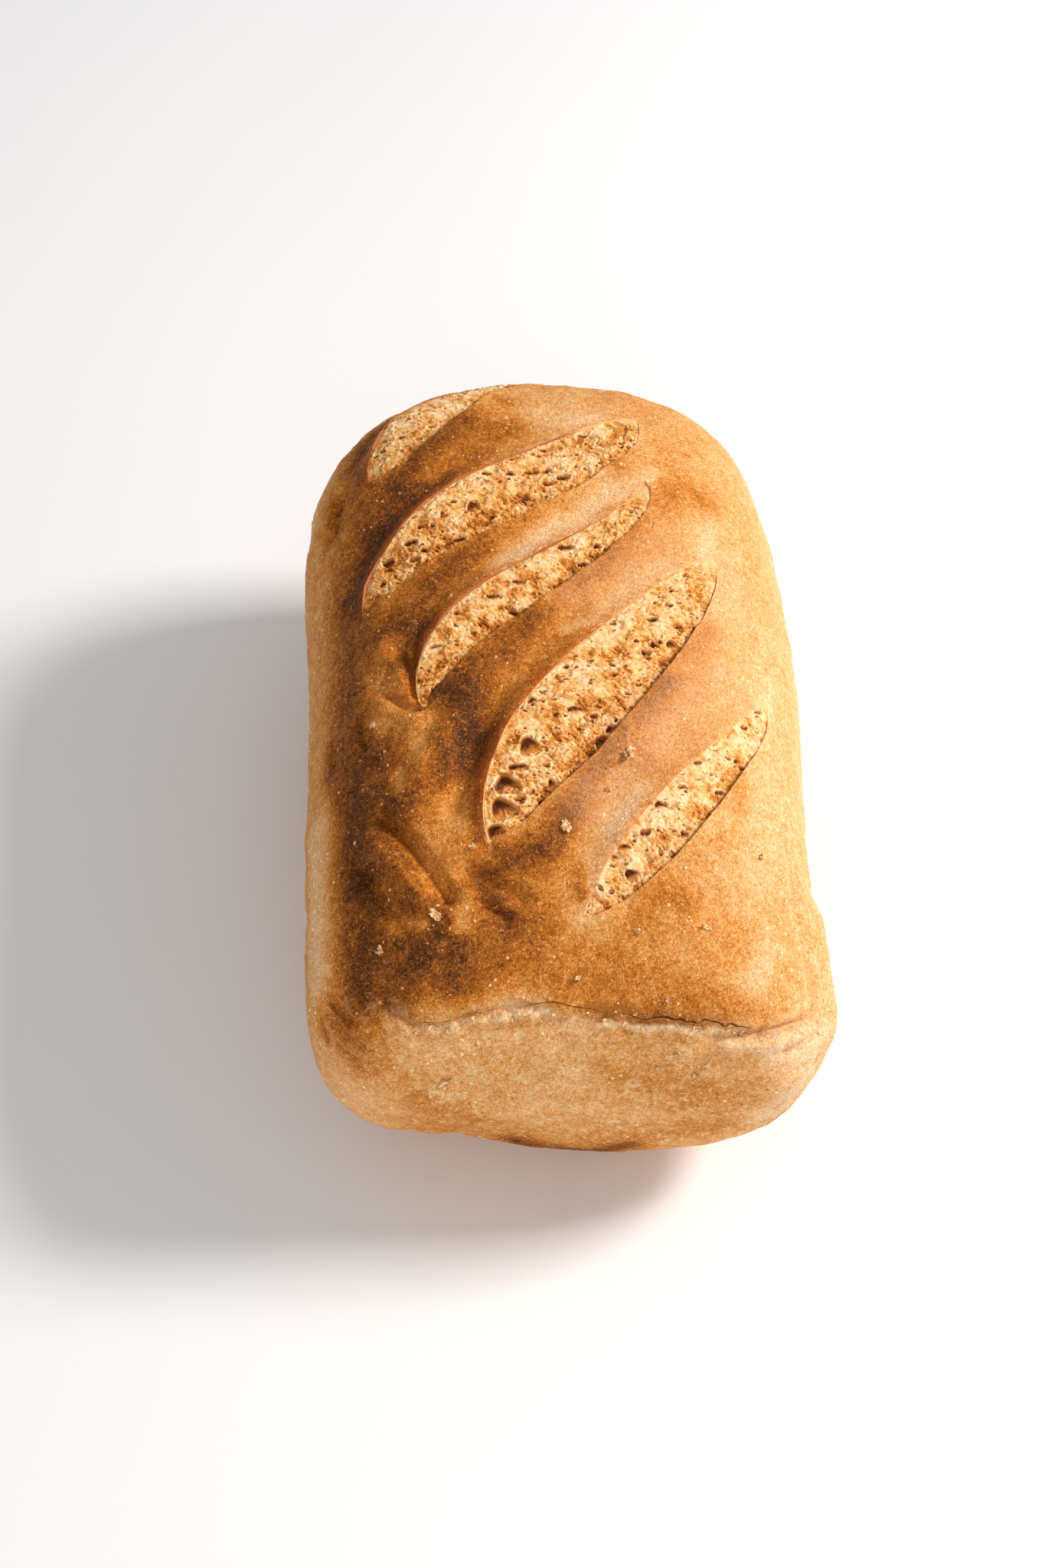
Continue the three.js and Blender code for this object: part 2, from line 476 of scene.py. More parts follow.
FINE_REACHES = (3.2, 1.5)  # how near a fine line the grid is split, the first and the second time, mm
fine_lines = [slash[edge][::3] for slash in SLASHES for edge in ("left edge", "right edge")]
fine_lines += [crease[::5], smooth_path(CORNER_TEAR, 12)]
grid = bmesh.new()
grid_mesh = bpy.data.meshes.new("grid")
grid_mesh.from_pydata(cube, [], cube_faces)
grid.from_mesh(grid_mesh)
FOLDED_ZONES = {  # middle and radius in mm
    "left shoulder": ((-36, -72, 92), 27), "pinch": ((-42, -20, 97), 17),
    "dimples": ((-57, 51, 84), 11), "near left corner": ((-48, -100, 70), 15),
    "near right corner": ((54, -101, 63), 16), "torn skin, left": ((-22, -105, 66), 16),
    "torn skin, middle": ((4, -105, 66), 17), "torn skin, right": ((30, -108, 62), 16),
}
for reach in FINE_REACHES:
    places = shape_dough(np.array([corner.co for corner in grid.verts], float)) - MIDDLE
    near = nearest_of(places, fine_lines) < reach
    if reach == FINE_REACHES[0]:
        for middle, radius in FOLDED_ZONES.values():
            near |= np.linalg.norm(places - middle, axis=1) < radius
    chosen = [edge for edge in grid.edges if all(near[corner.index] for corner in edge.verts)]
    bmesh.ops.subdivide_edges(grid, edges=chosen, cuts=1, use_grid_fill=True)
    grid.verts.index_update()
grid.to_mesh(grid_mesh)
grid.free()
cube = np.empty(len(grid_mesh.vertices) * 3)
grid_mesh.vertices.foreach_get("co", cube)
crust = new_piece(
    "crust", shape_dough(cube.reshape(-1, 3)) - MIDDLE, [face.vertices[:] for face in grid_mesh.polygons]
)
print("crust before sculpting:", triangles(crust), "triangles")

# %% [markdown]
# ## Folds, dents and lips
# The crust is not smooth. It lifts in an ear on the upper left of each slash, with a shallow valley
# behind, and stands up in a lip on the lower right. On the left shoulder the skin folded as it shrank,
# and thumbs dented it. All this could be sculpted by hand, but a soft press along a short line can be
# repeated and changed: each fold has a route, a reach, and a height that is negative where the skin
# goes in.

# %% Press the folds
FOLDS = {  # route, reach and height in mm
    "pinch at the third slash": ([(-37.6, -7.2, 98.6), (-34.2, -20.9, 99.3)], 3.4, -2.6),
    "ridge left of the pinch": ([(-44.5, -1.8, 96), (-38.5, -16, 98)], 3.6, 1.8),
    "curved crease below it": ([(-42.5, -19.4, 96.5), (-37.7, -26.1, 98.5), (-34, -25.9, 99.5)], 1.9, -1.6),
    "bulge below the crease": ([(-43.4, -24, 96), (-36, -31, 99)], 4.5, 1.3),
    "nick on the shoulder": ([(-50.3, -25.1, 92), (-49.5, -30, 92), (-48.3, -33.7, 93)], 1.4, -1.3),
    "long groove": (
        [(-44, -56, 92), (-38.9, -62.8, 93.5), (-33.8, -70.4, 92.7), (-28.1, -79.3, 90.2)], 2.6, -2.6),
    "ridge beside it": ([(-47.6, -60.6, 89.7), (-41, -70, 91), (-34, -79, 89.5)], 2.6, 1.3),
    "valley below it": ([(-50, -66, 86), (-44.5, -76.5, 86.5), (-38, -85, 85.5)], 3.0, -1.5),
    "hollow left of the fifth slash": ([(-23.3, -74.3, 93.5), (-10.7, -80.8, 92.5)], 3.0, -1.9),
    "hollow under it": ([(-20.7, -79.7, 90.5), (-14.4, -84.9, 89)], 2.4, -1.5),
    "fold between the hollows": ([(-24, -78.5, 91), (-14, -82.3, 90.5)], 1.6, 1.0),
    "dip left of the fourth slash": (
        [(-14.8, -23.6, 101.7), (-20.8, -42.1, 100.1), (-26.7, -56.6, 97.4)], 5.0, -1.3),
    "rise left of the dip": ([(-24.4, -30.1, 100.6), (-32, -43, 98.5), (-39.7, -56.4, 95)], 4.5, 1.2),
    "upper dimple": ([(-53.6, 58.5, 87.3), (-54.4, 54.5, 87)], 3.6, -2.6),
    "lower dimple": ([(-55.0, 50.3, 86.4), (-55.6, 46.5, 85.8)], 3.2, -2.2),
    "side dimple": ([(-57.2, -28.5, 84.1), (-57.2, -33, 84.1)], 2.6, -1.3),
    "thumbprint": ([(-43.5, -99.3, 75.6), (-41, -99.6, 75)], 4.6, -2.4),
    "corner wrinkle, upper": ([(-58, -92, 69.5), (-55, -97, 69.5), (-51, -101, 69)], 1.5, -1.5),
    "corner wrinkle, middle": ([(-57.8, -95, 65.5), (-54, -101, 65), (-50, -104.5, 64)], 1.7, -1.6),
    "corner wrinkle, lower": ([(-55.5, -100.5, 61), (-50.5, -105, 60)], 1.4, -1.2),
    "corner tear": (CORNER_TEAR, 1.6, -1.5),
    "roll under the corner tear": (
        [(38, -107, 65.8), (43.9, -106.6, 65), (49.6, -105.2, 64.3), (54.7, -102.7, 62.8),
         (59, -99.2, 60.8)], 2.2, 1.1),
    "corner fold": ([(52.4, -105.8, 60.2), (57.6, -102, 59.1), (60.7, -97.9, 58.3)], 1.5, -0.9),
    "edge of the dome": ([(57, -68, 79), (58.3, -78, 74.5), (59.5, -88, 68.5), (60, -95, 63)], 2.4, -1.5),
    "swell under the dome's edge": ([(62.5, -72, 68), (64, -84, 60), (63, -93, 52)], 7.0, 1.8),
}
FOLD_STRENGTH, FOLD_WIDTH = 1.3, 0.75
EAR_REACH = 3.4
VALLEY_DEPTH, VALLEY_PLACE, VALLEY_REACH = 0.75, 7.5, 4.2  # behind an ear, as a share of it and in mm
LIP_HEIGHT, LIP_REACH = 0.9, 6.0
BEAD_HEIGHT, BEAD_REACH = 0.3, 1.3  # along the lip's very edge, as a share of the lip and in mm
BROW_HEIGHT, BROW_REACH = 0.8, 4.5  # the dome's edge over the crease, mm
TORN_ROLL, TORN_NICK = (0.6, 2.0, 1.4), (0.4, 0.5, 1.2)  # under it: height, distance and reach, mm
RUGGED_PLACE, RUGGED_REACH = 2.5, 3.6  # where the torn skin under the crease is ragged


def bell(distance, reach):
    return np.exp(-((distance / reach) ** 2))


def near_line(points, route, reach):
    """1 on a line and fading away from it."""
    return bell(path_distance(points, route)[0], reach)


def tapered(share):
    """Full in the middle of a line, fading towards its two ends."""
    return (4 * share * (1 - share)).clip(0, 1) ** 0.5


def ear_height(share, strength):
    """How far the crust lifted along the upper left edge of a slash, most in its lower half."""
    return strength * (0.1 + 1.7 * bell(share - 0.32, 0.3)) * ease(share / 0.08) * ease((1 - share) / 0.1)


def above_crease(points, share):
    """Which points lie higher than the crease does, there along its length."""
    step = np.clip((share * (CREASE_POINTS - 1)).astype(int), 0, CREASE_POINTS - 1)
    return points[:, 2] > crease[step, 2]


def sculpt(piece):
    points, outward = corners_of(piece)
    height = np.zeros(len(points))
    for route, reach, amount in FOLDS.values():
        line = put_on_body(smooth_path(route, 9))
        height += FOLD_STRENGTH * amount * near_line(points, line, FOLD_WIDTH * reach)
    for slash in SLASHES:
        gap, share = path_distance(points, slash["left edge"])
        ear = ear_height(share, slash["ear"])
        height += ear * (bell(gap, EAR_REACH) - VALLEY_DEPTH * bell(gap - VALLEY_PLACE, VALLEY_REACH))
        gap, share = path_distance(points, slash["right edge"])
        height += LIP_HEIGHT * (bell(gap, LIP_REACH) + BEAD_HEIGHT * bell(gap, BEAD_REACH)) * tapered(share)
    gap, share = path_distance(points, crease)
    above = above_crease(points, share)
    roll, nick = (rise * bell(gap - place, reach) for rise, place, reach in (TORN_ROLL, TORN_NICK))
    height += np.where(above, BROW_HEIGHT * bell(gap, BROW_REACH), roll - nick) * tapered(share)
    rugged = np.where(above, 0.0, bell(gap - RUGGED_PLACE, RUGGED_REACH)) * tapered(share)
    write_on(piece, rugged=rugged)
    moved = points + outward * height[:, None]
    moved[:, 2] = moved[:, 2].clip(0, None)
    piece.data.vertices.foreach_set("co", (moved * MM).ravel())
    piece.data.update()
    return height


height = sculpt(crust)
print("pressed from", height.min().round(1), "to", height.max().round(1), "mm")

# %% [markdown]
# ## Crust relief
# Between the folds, baked crust is gently lumpy, with small blisters, and the torn skin under the crease
# is ragged. That repeats over the whole surface, so a Geometry Nodes tree does it: three sizes of noise
# push each corner along its normal, the third only where the crust's own note says that it is torn.
# Corners that would sink under the floor are held on it.

# %% Relief tree
TEAR_SIZE = 2.4
relief, given = new_tree("crust relief", {
    "Lump height": "Float", "Lump size": "Float", "Blister height": "Float", "Blister size": "Float",
    "Torn height": "Float", "Seed": "Float", "Material": "Material",
})


def named(tree, name, kind="FLOAT"):
    feeds = {"Name": name}
    return put(tree, "GeometryNodeInputNamedAttribute", feeds, data_type=kind).outputs["Attribute"]


def scaled_place(tree):
    """The place of each corner, in millimetres."""
    return scaled(tree, put(tree, "GeometryNodeInputPosition").outputs[0], 1 / MM)


def push_along_normal(tree, geometry, distance):
    """Moves each corner along its normal by a distance in millimetres."""
    metres = times(tree, distance, MM)
    normal = put(tree, "GeometryNodeInputNormal").outputs[0]
    offset = scaled(tree, normal, metres)
    return put(tree, "GeometryNodeSetPosition", {"Geometry": geometry, "Offset": offset}).outputs[0]


place = scaled_place(relief)


def relief_layer(height, size, detail, seed):
    """Noise, centred on nothing, of a height and a size that may be tree inputs."""
    feeds = {"Vector": place, "W": seed, "Scale": reckon(relief, "DIVIDE", 1, size), "Detail": detail}
    noise = put(relief, "ShaderNodeTexNoise", feeds, noise_dimensions="4D").outputs[0]
    return centred(relief, noise, height)


knobs = given.outputs
lumps = relief_layer(knobs["Lump height"], knobs["Lump size"], 2, knobs["Seed"])
blisters = relief_layer(knobs["Blister height"], knobs["Blister size"], 3, plus(relief, knobs["Seed"], 7))
tears = relief_layer(knobs["Torn height"], TEAR_SIZE, 3, plus(relief, knobs["Seed"], 15))
tears = times(relief, tears, named(relief, "rugged"))
bumpy = plus(relief, plus(relief, lumps, blisters), tears)
raised = push_along_normal(relief, knobs["Geometry"], bumpy)
spot = put(relief, "GeometryNodeInputPosition").outputs[0]
x, y, z = put(relief, "ShaderNodeSeparateXYZ", {0: spot}).outputs
held = put(relief, "ShaderNodeCombineXYZ", {0: x, 1: y, 2: larger(relief, z, 0.0)}).outputs[0]
raised = put(relief, "GeometryNodeSetPosition", {"Geometry": raised, "Position": held}).outputs[0]
end_tree(relief, raised, knobs["Material"])
print("relief tree:", len(relief.nodes), "nodes")

# %% [markdown]
# ## Helpers for finishes
# A finish is a colour, a roughness and often bumps. Its blotches and specks are noise, and notes on a
# piece's corners say where it is toasted, floury or torn.

# %% Helpers for materials


def new_material(name):
    """A material with its node tree, its shader and its place in millimetres."""
    material = bpy.data.materials.new(name)
    material.use_nodes = True
    tree = material.node_tree
    shader = next(node for node in tree.nodes if node.type == "BSDF_PRINCIPLED")
    place = scaled(tree, put(tree, "ShaderNodeTexCoord").outputs["Object"], 1 / MM)
    return material, tree, shader, place


def give_finish(tree, shader, colour, roughness, bumps=None, shine=0.5):
    """Wires a colour, a roughness and bumps (strength, reach in mm and height map) into a shader."""
    tree.links.new(colour, shader.inputs["Base Color"])
    tree.links.new(roughness, shader.inputs["Roughness"])
    shader.inputs["Specular IOR Level"].default_value = shine
    if bumps:
        strength, reach, height = bumps
        feeds = {"Strength": strength, "Distance": reach * MM, "Height": height}
        tree.links.new(put(tree, "ShaderNodeBump", feeds).outputs[0], shader.inputs["Normal"])


def note(tree, name):
    """A number that was written on the piece's corners."""
    return put(tree, "ShaderNodeAttribute", attribute_name=name).outputs["Fac"]


def ramp(tree, value, colours):
    node = put(tree, "ShaderNodeValToRGB", {0: value})
    stops = node.color_ramp.elements
    while len(stops) < len(colours):
        stops.new(0.5)
    for stop, (position, colour) in zip(stops, sorted(colours.items())):
        stop.position = position
        stop.color = shade(*colour)
    return node.outputs[0]


def shading(tree, value, low, high, darkest, brightest):
    """A tint to multiply a colour by, from a darkest red, green and blue up to an even brightest."""
    return put(tree, "ShaderNodeCombineColor", {
        channel: stretch(tree, value, low, high, least, brightest) for channel, least in enumerate(darkest)
    }).outputs[0]


def specks(tree, place, size, share, largest, seed):
    """Round specks, 0 outside and 1 inside, in a share of cells that are size millimetres across."""
    moved = reckon_vector(tree, "ADD", place, (17.0 * seed, 0, 0))
    cells = put(tree, "ShaderNodeTexVoronoi", {"Vector": moved, "Scale": 1 / size})
    dice = put(tree, "ShaderNodeSeparateColor", {0: cells.outputs["Color"]}).outputs[0]
    radius = stretch(tree, dice, 1 - share, 1, 0.001, largest, "LINEAR")
    return reckon(tree, "LESS_THAN", cells.outputs["Distance"], radius)


# %% [markdown]
# ## The crust's finish
# Baked crust is a fine speckle of golden, orange and brown, darker where it stood highest in the oven
# and pale where the tin shaded it. A brush of named strokes later writes how toasted each corner is; the
# material turns that one number into colour with a ramp, breaks it up with mottling, and lays bloom,
# scuffs, specks and torn edges over it, and painted shade along the crease and in the sharp folds.

# %% Crust material
TOAST_COLOURS = {
    0.0: (249, 215, 178), 0.2: (243, 194, 138), 0.38: (229, 164, 92), 0.54: (204, 127, 42),
    0.7: (160, 92, 24), 0.85: (104, 58, 20), 1.0: (62, 34, 14),
}
ROSY = shade(196, 92, 34)  # the thin crust of an ear
BLOOM = shade(236, 182, 138)  # flour that baked on
CREAM = shade(255, 226, 176)  # the broken edge of the crust
SCUFF = shade(252, 220, 168)  # the floury skin of the near end
GOLDEN_SKIN = shade(204, 130, 52)
PALE_SPECK, DARK_SPECK = shade(255, 214, 156), shade(92, 48, 20)
# CREASE_SHADE is painted shade, laid along the crease and in the sharp folds.
TORN_SKIN, CREASE_SHADE = shade(255, 236, 202), shade(138, 80, 28)
PALE_SPECKS = ((0.7, 0.6, 0.34, 6), (1.5, 0.5, 0.24, 7))  # cell in mm, share of cells, largest, seed
crust_skin, tree, shader, place = new_material("crust_skin")
clouds = mottle(tree, place, 16, 4, 0.6, 0.4, 1)
blotches = mottle(tree, place, 3.2, 4, 0.65, 0.3, 2)
grain = mottle(tree, place, 1.3, 4, 0.75, 0, 3)
dust = mottle(tree, place, 0.42, 2, 0.7, 0, 4)
toast = note(tree, "toast")
for cloud, amount in ((clouds, 0.10), (blotches, 0.14), (grain, 0.24), (dust, 0.26)):
    toast = plus(tree, toast, stretch(tree, cloud, 0.32, 0.68, -amount / 2, amount / 2, "LINEAR"))
colour = ramp(tree, toast, TOAST_COLOURS)
colour = paint(tree, times(tree, note(tree, "rosy"), stretch(tree, grain, 0.25, 0.7)), colour, ROSY)
bloom = times(tree, note(tree, "bloom"), stretch(tree, grain, 0.36, 0.62, 0.1, 1.0))
colour = paint(tree, bloom, colour, BLOOM)
patchy = mottle(tree, place, 4.5, 6, 0.78, 0.2, 5)
scuffs = stretch(tree, patchy, 0.53, 0.62, 0, 0.75)
scuffs = larger(tree, scuffs, specks(tree, place, 2.1, 0.35, 0.26, 8))
scuffs = times(tree, scuffs, note(tree, "scuff"))
golden = times(tree, stretch(tree, patchy, 0.46, 0.36, 0, 0.5), note(tree, "scuff"))
colour = paint(tree, golden, colour, GOLDEN_SKIN)
colour = paint(tree, times(tree, scuffs, 0.8), colour, SCUFF)
lighter = paint(tree, stretch(tree, note(tree, "toast"), 0.45, 0.8, 0.45, 0.2), colour, PALE_SPECK)
for layer in PALE_SPECKS:
    colour = paint(tree, specks(tree, place, *layer), colour, lighter)
dark_specks = times(tree, specks(tree, place, 1.7, 0.3, 0.24, 9), 0.35)
colour = paint(tree, dark_specks, colour, DARK_SPECK)
colour = paint(tree, note(tree, "cream edge"), colour, CREAM)
torn_skin = times(tree, note(tree, "torn skin"), stretch(tree, patchy, 0.36, 0.52, 0.4, 1.0))
colour = paint(tree, torn_skin, colour, TORN_SKIN)
# Painted shade along the crease and in the sharp folds, broken up by blotches.
crease_shade = times(tree, note(tree, "crease_shade"), stretch(tree, blotches, 0.3, 0.6, 0.5, 0.95))
colour = paint(tree, crease_shade, colour, CREASE_SHADE)
fine = mottle(tree, place, 0.6, 3, 0.75, 1.0, 12)
colour = paint(tree, 1.0, colour, shading(tree, fine, 0.34, 0.66, (0.71, 0.59, 0.44), 1.16), "MULTIPLY")
height_map = plus(tree, times(tree, dust, 0.45), grain)
roughness = stretch(tree, blotches, 0.2, 0.8, 0.6, 0.85)
give_finish(tree, shader, colour, roughness, (0.9, 0.6, height_map), shine=0.16)
print("crust material:", crust_skin.name)

# %% [markdown]
# ## The cut sides
# Where the crust was cut its broken side shows. The last two slashes opened late and have pale sides,
# the others had time to brown; all fade to pale at the far tip, where the cut runs out. The inside of the
# crease is painted dark brown, as painted shade in the crack.

# %% Wall materials


def wall_material(name, blotch, one, other, at_far_tip=None, smoothest=0.75):
    """Two colours in blotches, fading to a third where a slash runs out."""
    material, tree, shader, place = new_material(name)
    colour = paint(tree, mottle(tree, place, blotch, 3), shade(*one), shade(*other))
    if at_far_tip:
        colour = paint(tree, note(tree, "far tip"), colour, shade(*at_far_tip))
    roughness = stretch(tree, mottle(tree, place, 0.6, 2), 0.3, 0.7, smoothest, 0.95)
    give_finish(tree, shader, colour, roughness)
    return material


pale_wall = wall_material("slash_wall", 1.2, (246, 204, 146), (204, 140, 76), (244, 200, 140))
browned_wall = wall_material("browned_wall", 1.2, (196, 118, 58), (140, 78, 32), (238, 192, 130))
# The crease's inside is painted shade: dark brown, so that the crack reads as a shadowed line.
crease_shade_wall = wall_material("crease_inside_shade", 1.5, (142, 84, 36), (196, 130, 68), smoothest=0.8)
print("wall materials:", pale_wall.name, browned_wall.name, crease_shade_wall.name)

# %% [markdown]
# ## Growing the relief
# The relief tree runs on the sculpted crust before anything is cut, so that the cuts stay crisp.

# %% Roughen the crust
grow(crust, relief, **{
    "Lump height": 2.2, "Lump size": 12.0, "Blister height": 0.8, "Blister size": 3.8,
    "Torn height": 4.2, "Seed": 2.0, "Material": crust_skin,
})
print("crust roughened:", triangles(crust), "triangles")

# %% [markdown]
# ## Cutting the slashes and the crease
# The knife went through the skin and the oven opened the cut, so the groove has crisp edges. A boolean
# gives those where a pressed grid could not. Each cutter is a closed leaf that follows the body, from
# well above it to a few millimetres below; the crease's cutter is a thin ragged wedge that leans up
# under the dome. The cut faces take the cutter's material.

# %% Cutters
CUT_DEPTH = 3.6
UNDERCUT = 3.6  # how far the groove runs in under the lip on its lower right
TUCK = 1.1  # how far the crumb reaches under the crust around each slash
WEDGE_HALF, WEDGE_DEPTH, WEDGE_ABOVE = 0.75, 0.95, 2.5  # the crease's cutter, mm
CUTTER_STEP, CUTTER_ABOVE = 1.2, 14.0  # its grid, and how far it stands out of the loaf, mm
CUTTER_OVER, CUTTER_BEND = 0.05, 1.2  # it is this much wider than the slash, and its wall bends here
PALE_RIM = 0.7  # a slash whose rim is above this has pale walls


def leaf_solid(name, slash, step, top_of, floor, over, under_lip=0.0, bend=0.0, undercut=0.0):
    """A closed solid on a leaf. top_of gives the height of its top and floor that of its underside. On
    its right its wall bends at a height of bend and then runs undercut mm outwards. Gives the solid, and
    notes of where each of its corners lies on the leaf."""
    _, _, offset, length = leaf_grid(slash, 40, 2, over, under_lip)
    along, across = round(length / step) + 1, round(np.ptp(offset, axis=1).max() / step) + 1
    flat, share, offset, length = leaf_grid(slash, along, across, over, under_lip)
    body = drop_on_body(flat.reshape(-1, 2))
    out = outward_from_middle(body)
    inside = np.minimum(bow(slash["left"], share) - offset, bow(slash["right"], share) + offset + under_lip)
    inside = np.minimum(inside, np.minimum(share, 1 - share) * length * 0.5)
    across_share = np.broadcast_to(np.linspace(0, 1, across), inside.shape)
    top = body + out * top_of(inside, across_share, share).reshape(-1, 1)
    number = np.arange(along * across).reshape(along, across)
    low_right, low_left, bend_right = (along * across + side * along + np.arange(along) for side in range(3))
    under = [
        body[number[:, side]] + out[number[:, side]] * level
        for side, level in ((0, floor), (-1, floor), (0, bend))
    ]
    chord = np.subtract(slash["tips"][1], slash["tips"][0]) / length
    rightwards = np.array([chord[1], -chord[0], 0])
    under[0] = under[0] + undercut * ease(np.minimum(share, 1 - share) * 8) * rightwards
    quads = (number[:-1, :-1], number[1:, :-1], number[1:, 1:], number[:-1, 1:])
    faces = np.stack([corner.ravel() for corner in quads], 1).tolist()
    for i in range(along - 1):
        faces.append([low_right[i], low_left[i], low_left[i + 1], low_right[i + 1]])
        faces.append([bend_right[i], low_right[i], low_right[i + 1], bend_right[i + 1]])
        faces.append([number[i, 0], bend_right[i], bend_right[i + 1], number[i + 1, 0]])
        faces.append([number[i + 1, -1], low_left[i + 1], low_left[i], number[i, -1]])
    faces.append([*number[0, ::-1], bend_right[0], low_right[0], low_left[0]])
    faces.append([*number[-1], low_left[-1], low_right[-1], bend_right[-1]])
    piece = new_piece(name, np.vstack([top, *under]), faces)

    def on_top(values):
        """Values for the top's corners, and nought for those under it."""
        return np.append(np.broadcast_to(values, offset.shape).ravel(), np.zeros(3 * along))

    leaf_place = np.stack([on_top(share * length), on_top(offset), on_top(0)], 1)
    notes = {"inside": on_top(inside), "across": on_top(across_share), "share": on_top(share)}
    return piece, {**notes, "leaf_place": leaf_place}


def face_outwards(piece):
    shell = bmesh.new()
    shell.from_mesh(piece.data)
    bmesh.ops.recalc_face_normals(shell, faces=shell.faces)
    shell.to_mesh(piece.data)
    shell.free()


def crease_strength(share):
    """The crease is thin on the left, nearly closes in the middle and gapes on the right."""
    return 0.35 + 0.65 * ease((share - 0.49) / 0.12) - 0.3 * bell(share - 0.51, 0.05)


def crease_wedge():
    """A thin ragged wedge along the crease, leaning up under the dome."""
    out = outward_from_middle(crease)
    run = np.gradient(crease, axis=0)
    up = np.cross(out, run)
    up *= np.sign(up[:, 2:]) / np.linalg.norm(up, axis=1, keepdims=True)
    share = np.linspace(0, 1, len(crease))[:, None]
    rough = smoothed(np.random.default_rng(11).uniform(0.35, 1.0, (len(crease), 1)))
    fade = (4 * share * (1 - share)) ** 0.35 * crease_strength(share) + 0.04
    half, depth = WEDGE_HALF * rough * fade, WEDGE_DEPTH * rough * fade
    outside, inside = out * WEDGE_ABOVE, up * 0.7 * depth - out * depth
    ring = [outside + up * half, outside - up * half, inside - up * 0.45 * half, inside + up * 0.45 * half]
    corners = np.stack([crease + corner for corner in ring], 1).reshape(-1, 3)
    faces = []
    for i in range(len(crease) - 1):
        for j in range(4):
            k = (j + 1) % 4
            faces.append([4 * i + j, 4 * i + k, 4 * i + 4 + k, 4 * i + 4 + j])
    last = 4 * (len(crease) - 1)
    faces += [[3, 2, 1, 0], [last, last + 1, last + 2, last + 3]]
    return new_piece("crease_wedge", corners, faces)


def well_above(inside, across, share):
    return np.full(inside.shape, CUTTER_ABOVE)


cutters = [
    leaf_solid(
        "cutter", slash, CUTTER_STEP, well_above, -CUT_DEPTH, over=CUTTER_OVER, bend=CUTTER_BEND,
        undercut=UNDERCUT,
    )[0] for slash in SLASHES
]
cutters.append(crease_wedge())
print("cutters:", len(cutters), "with", sum(triangles(cutter) for cutter in cutters), "triangles")

# %% [markdown]
# ## Cutting
# The booleans run one after the other. Afterwards the crust is shaded smooth, but sharp along its cuts.

# %% Cut the crust


def cut(piece, tool, wall):
    face_outwards(tool)
    tool.data.materials.append(wall)
    bite = piece.modifiers.new("cut", "BOOLEAN")
    bite.operation, bite.solver, bite.object = "DIFFERENCE", "MANIFOLD", tool
    bite.material_mode = "TRANSFER"
    seen = piece.evaluated_get(bpy.context.evaluated_depsgraph_get())
    made = bpy.data.meshes.new_from_object(seen)
    piece.modifiers.clear()
    piece.data = made
    bpy.data.objects.remove(tool)


walls = [pale_wall if slash["rim"] > PALE_RIM else browned_wall for slash in SLASHES] + [crease_shade_wall]
for tool, wall in zip(cutters, walls):
    cut(crust, tool, wall)
    print("cut, now", triangles(crust), "triangles")
crust.data.name = "crust"
crust.data.set_sharp_from_angle(angle=math.radians(50))
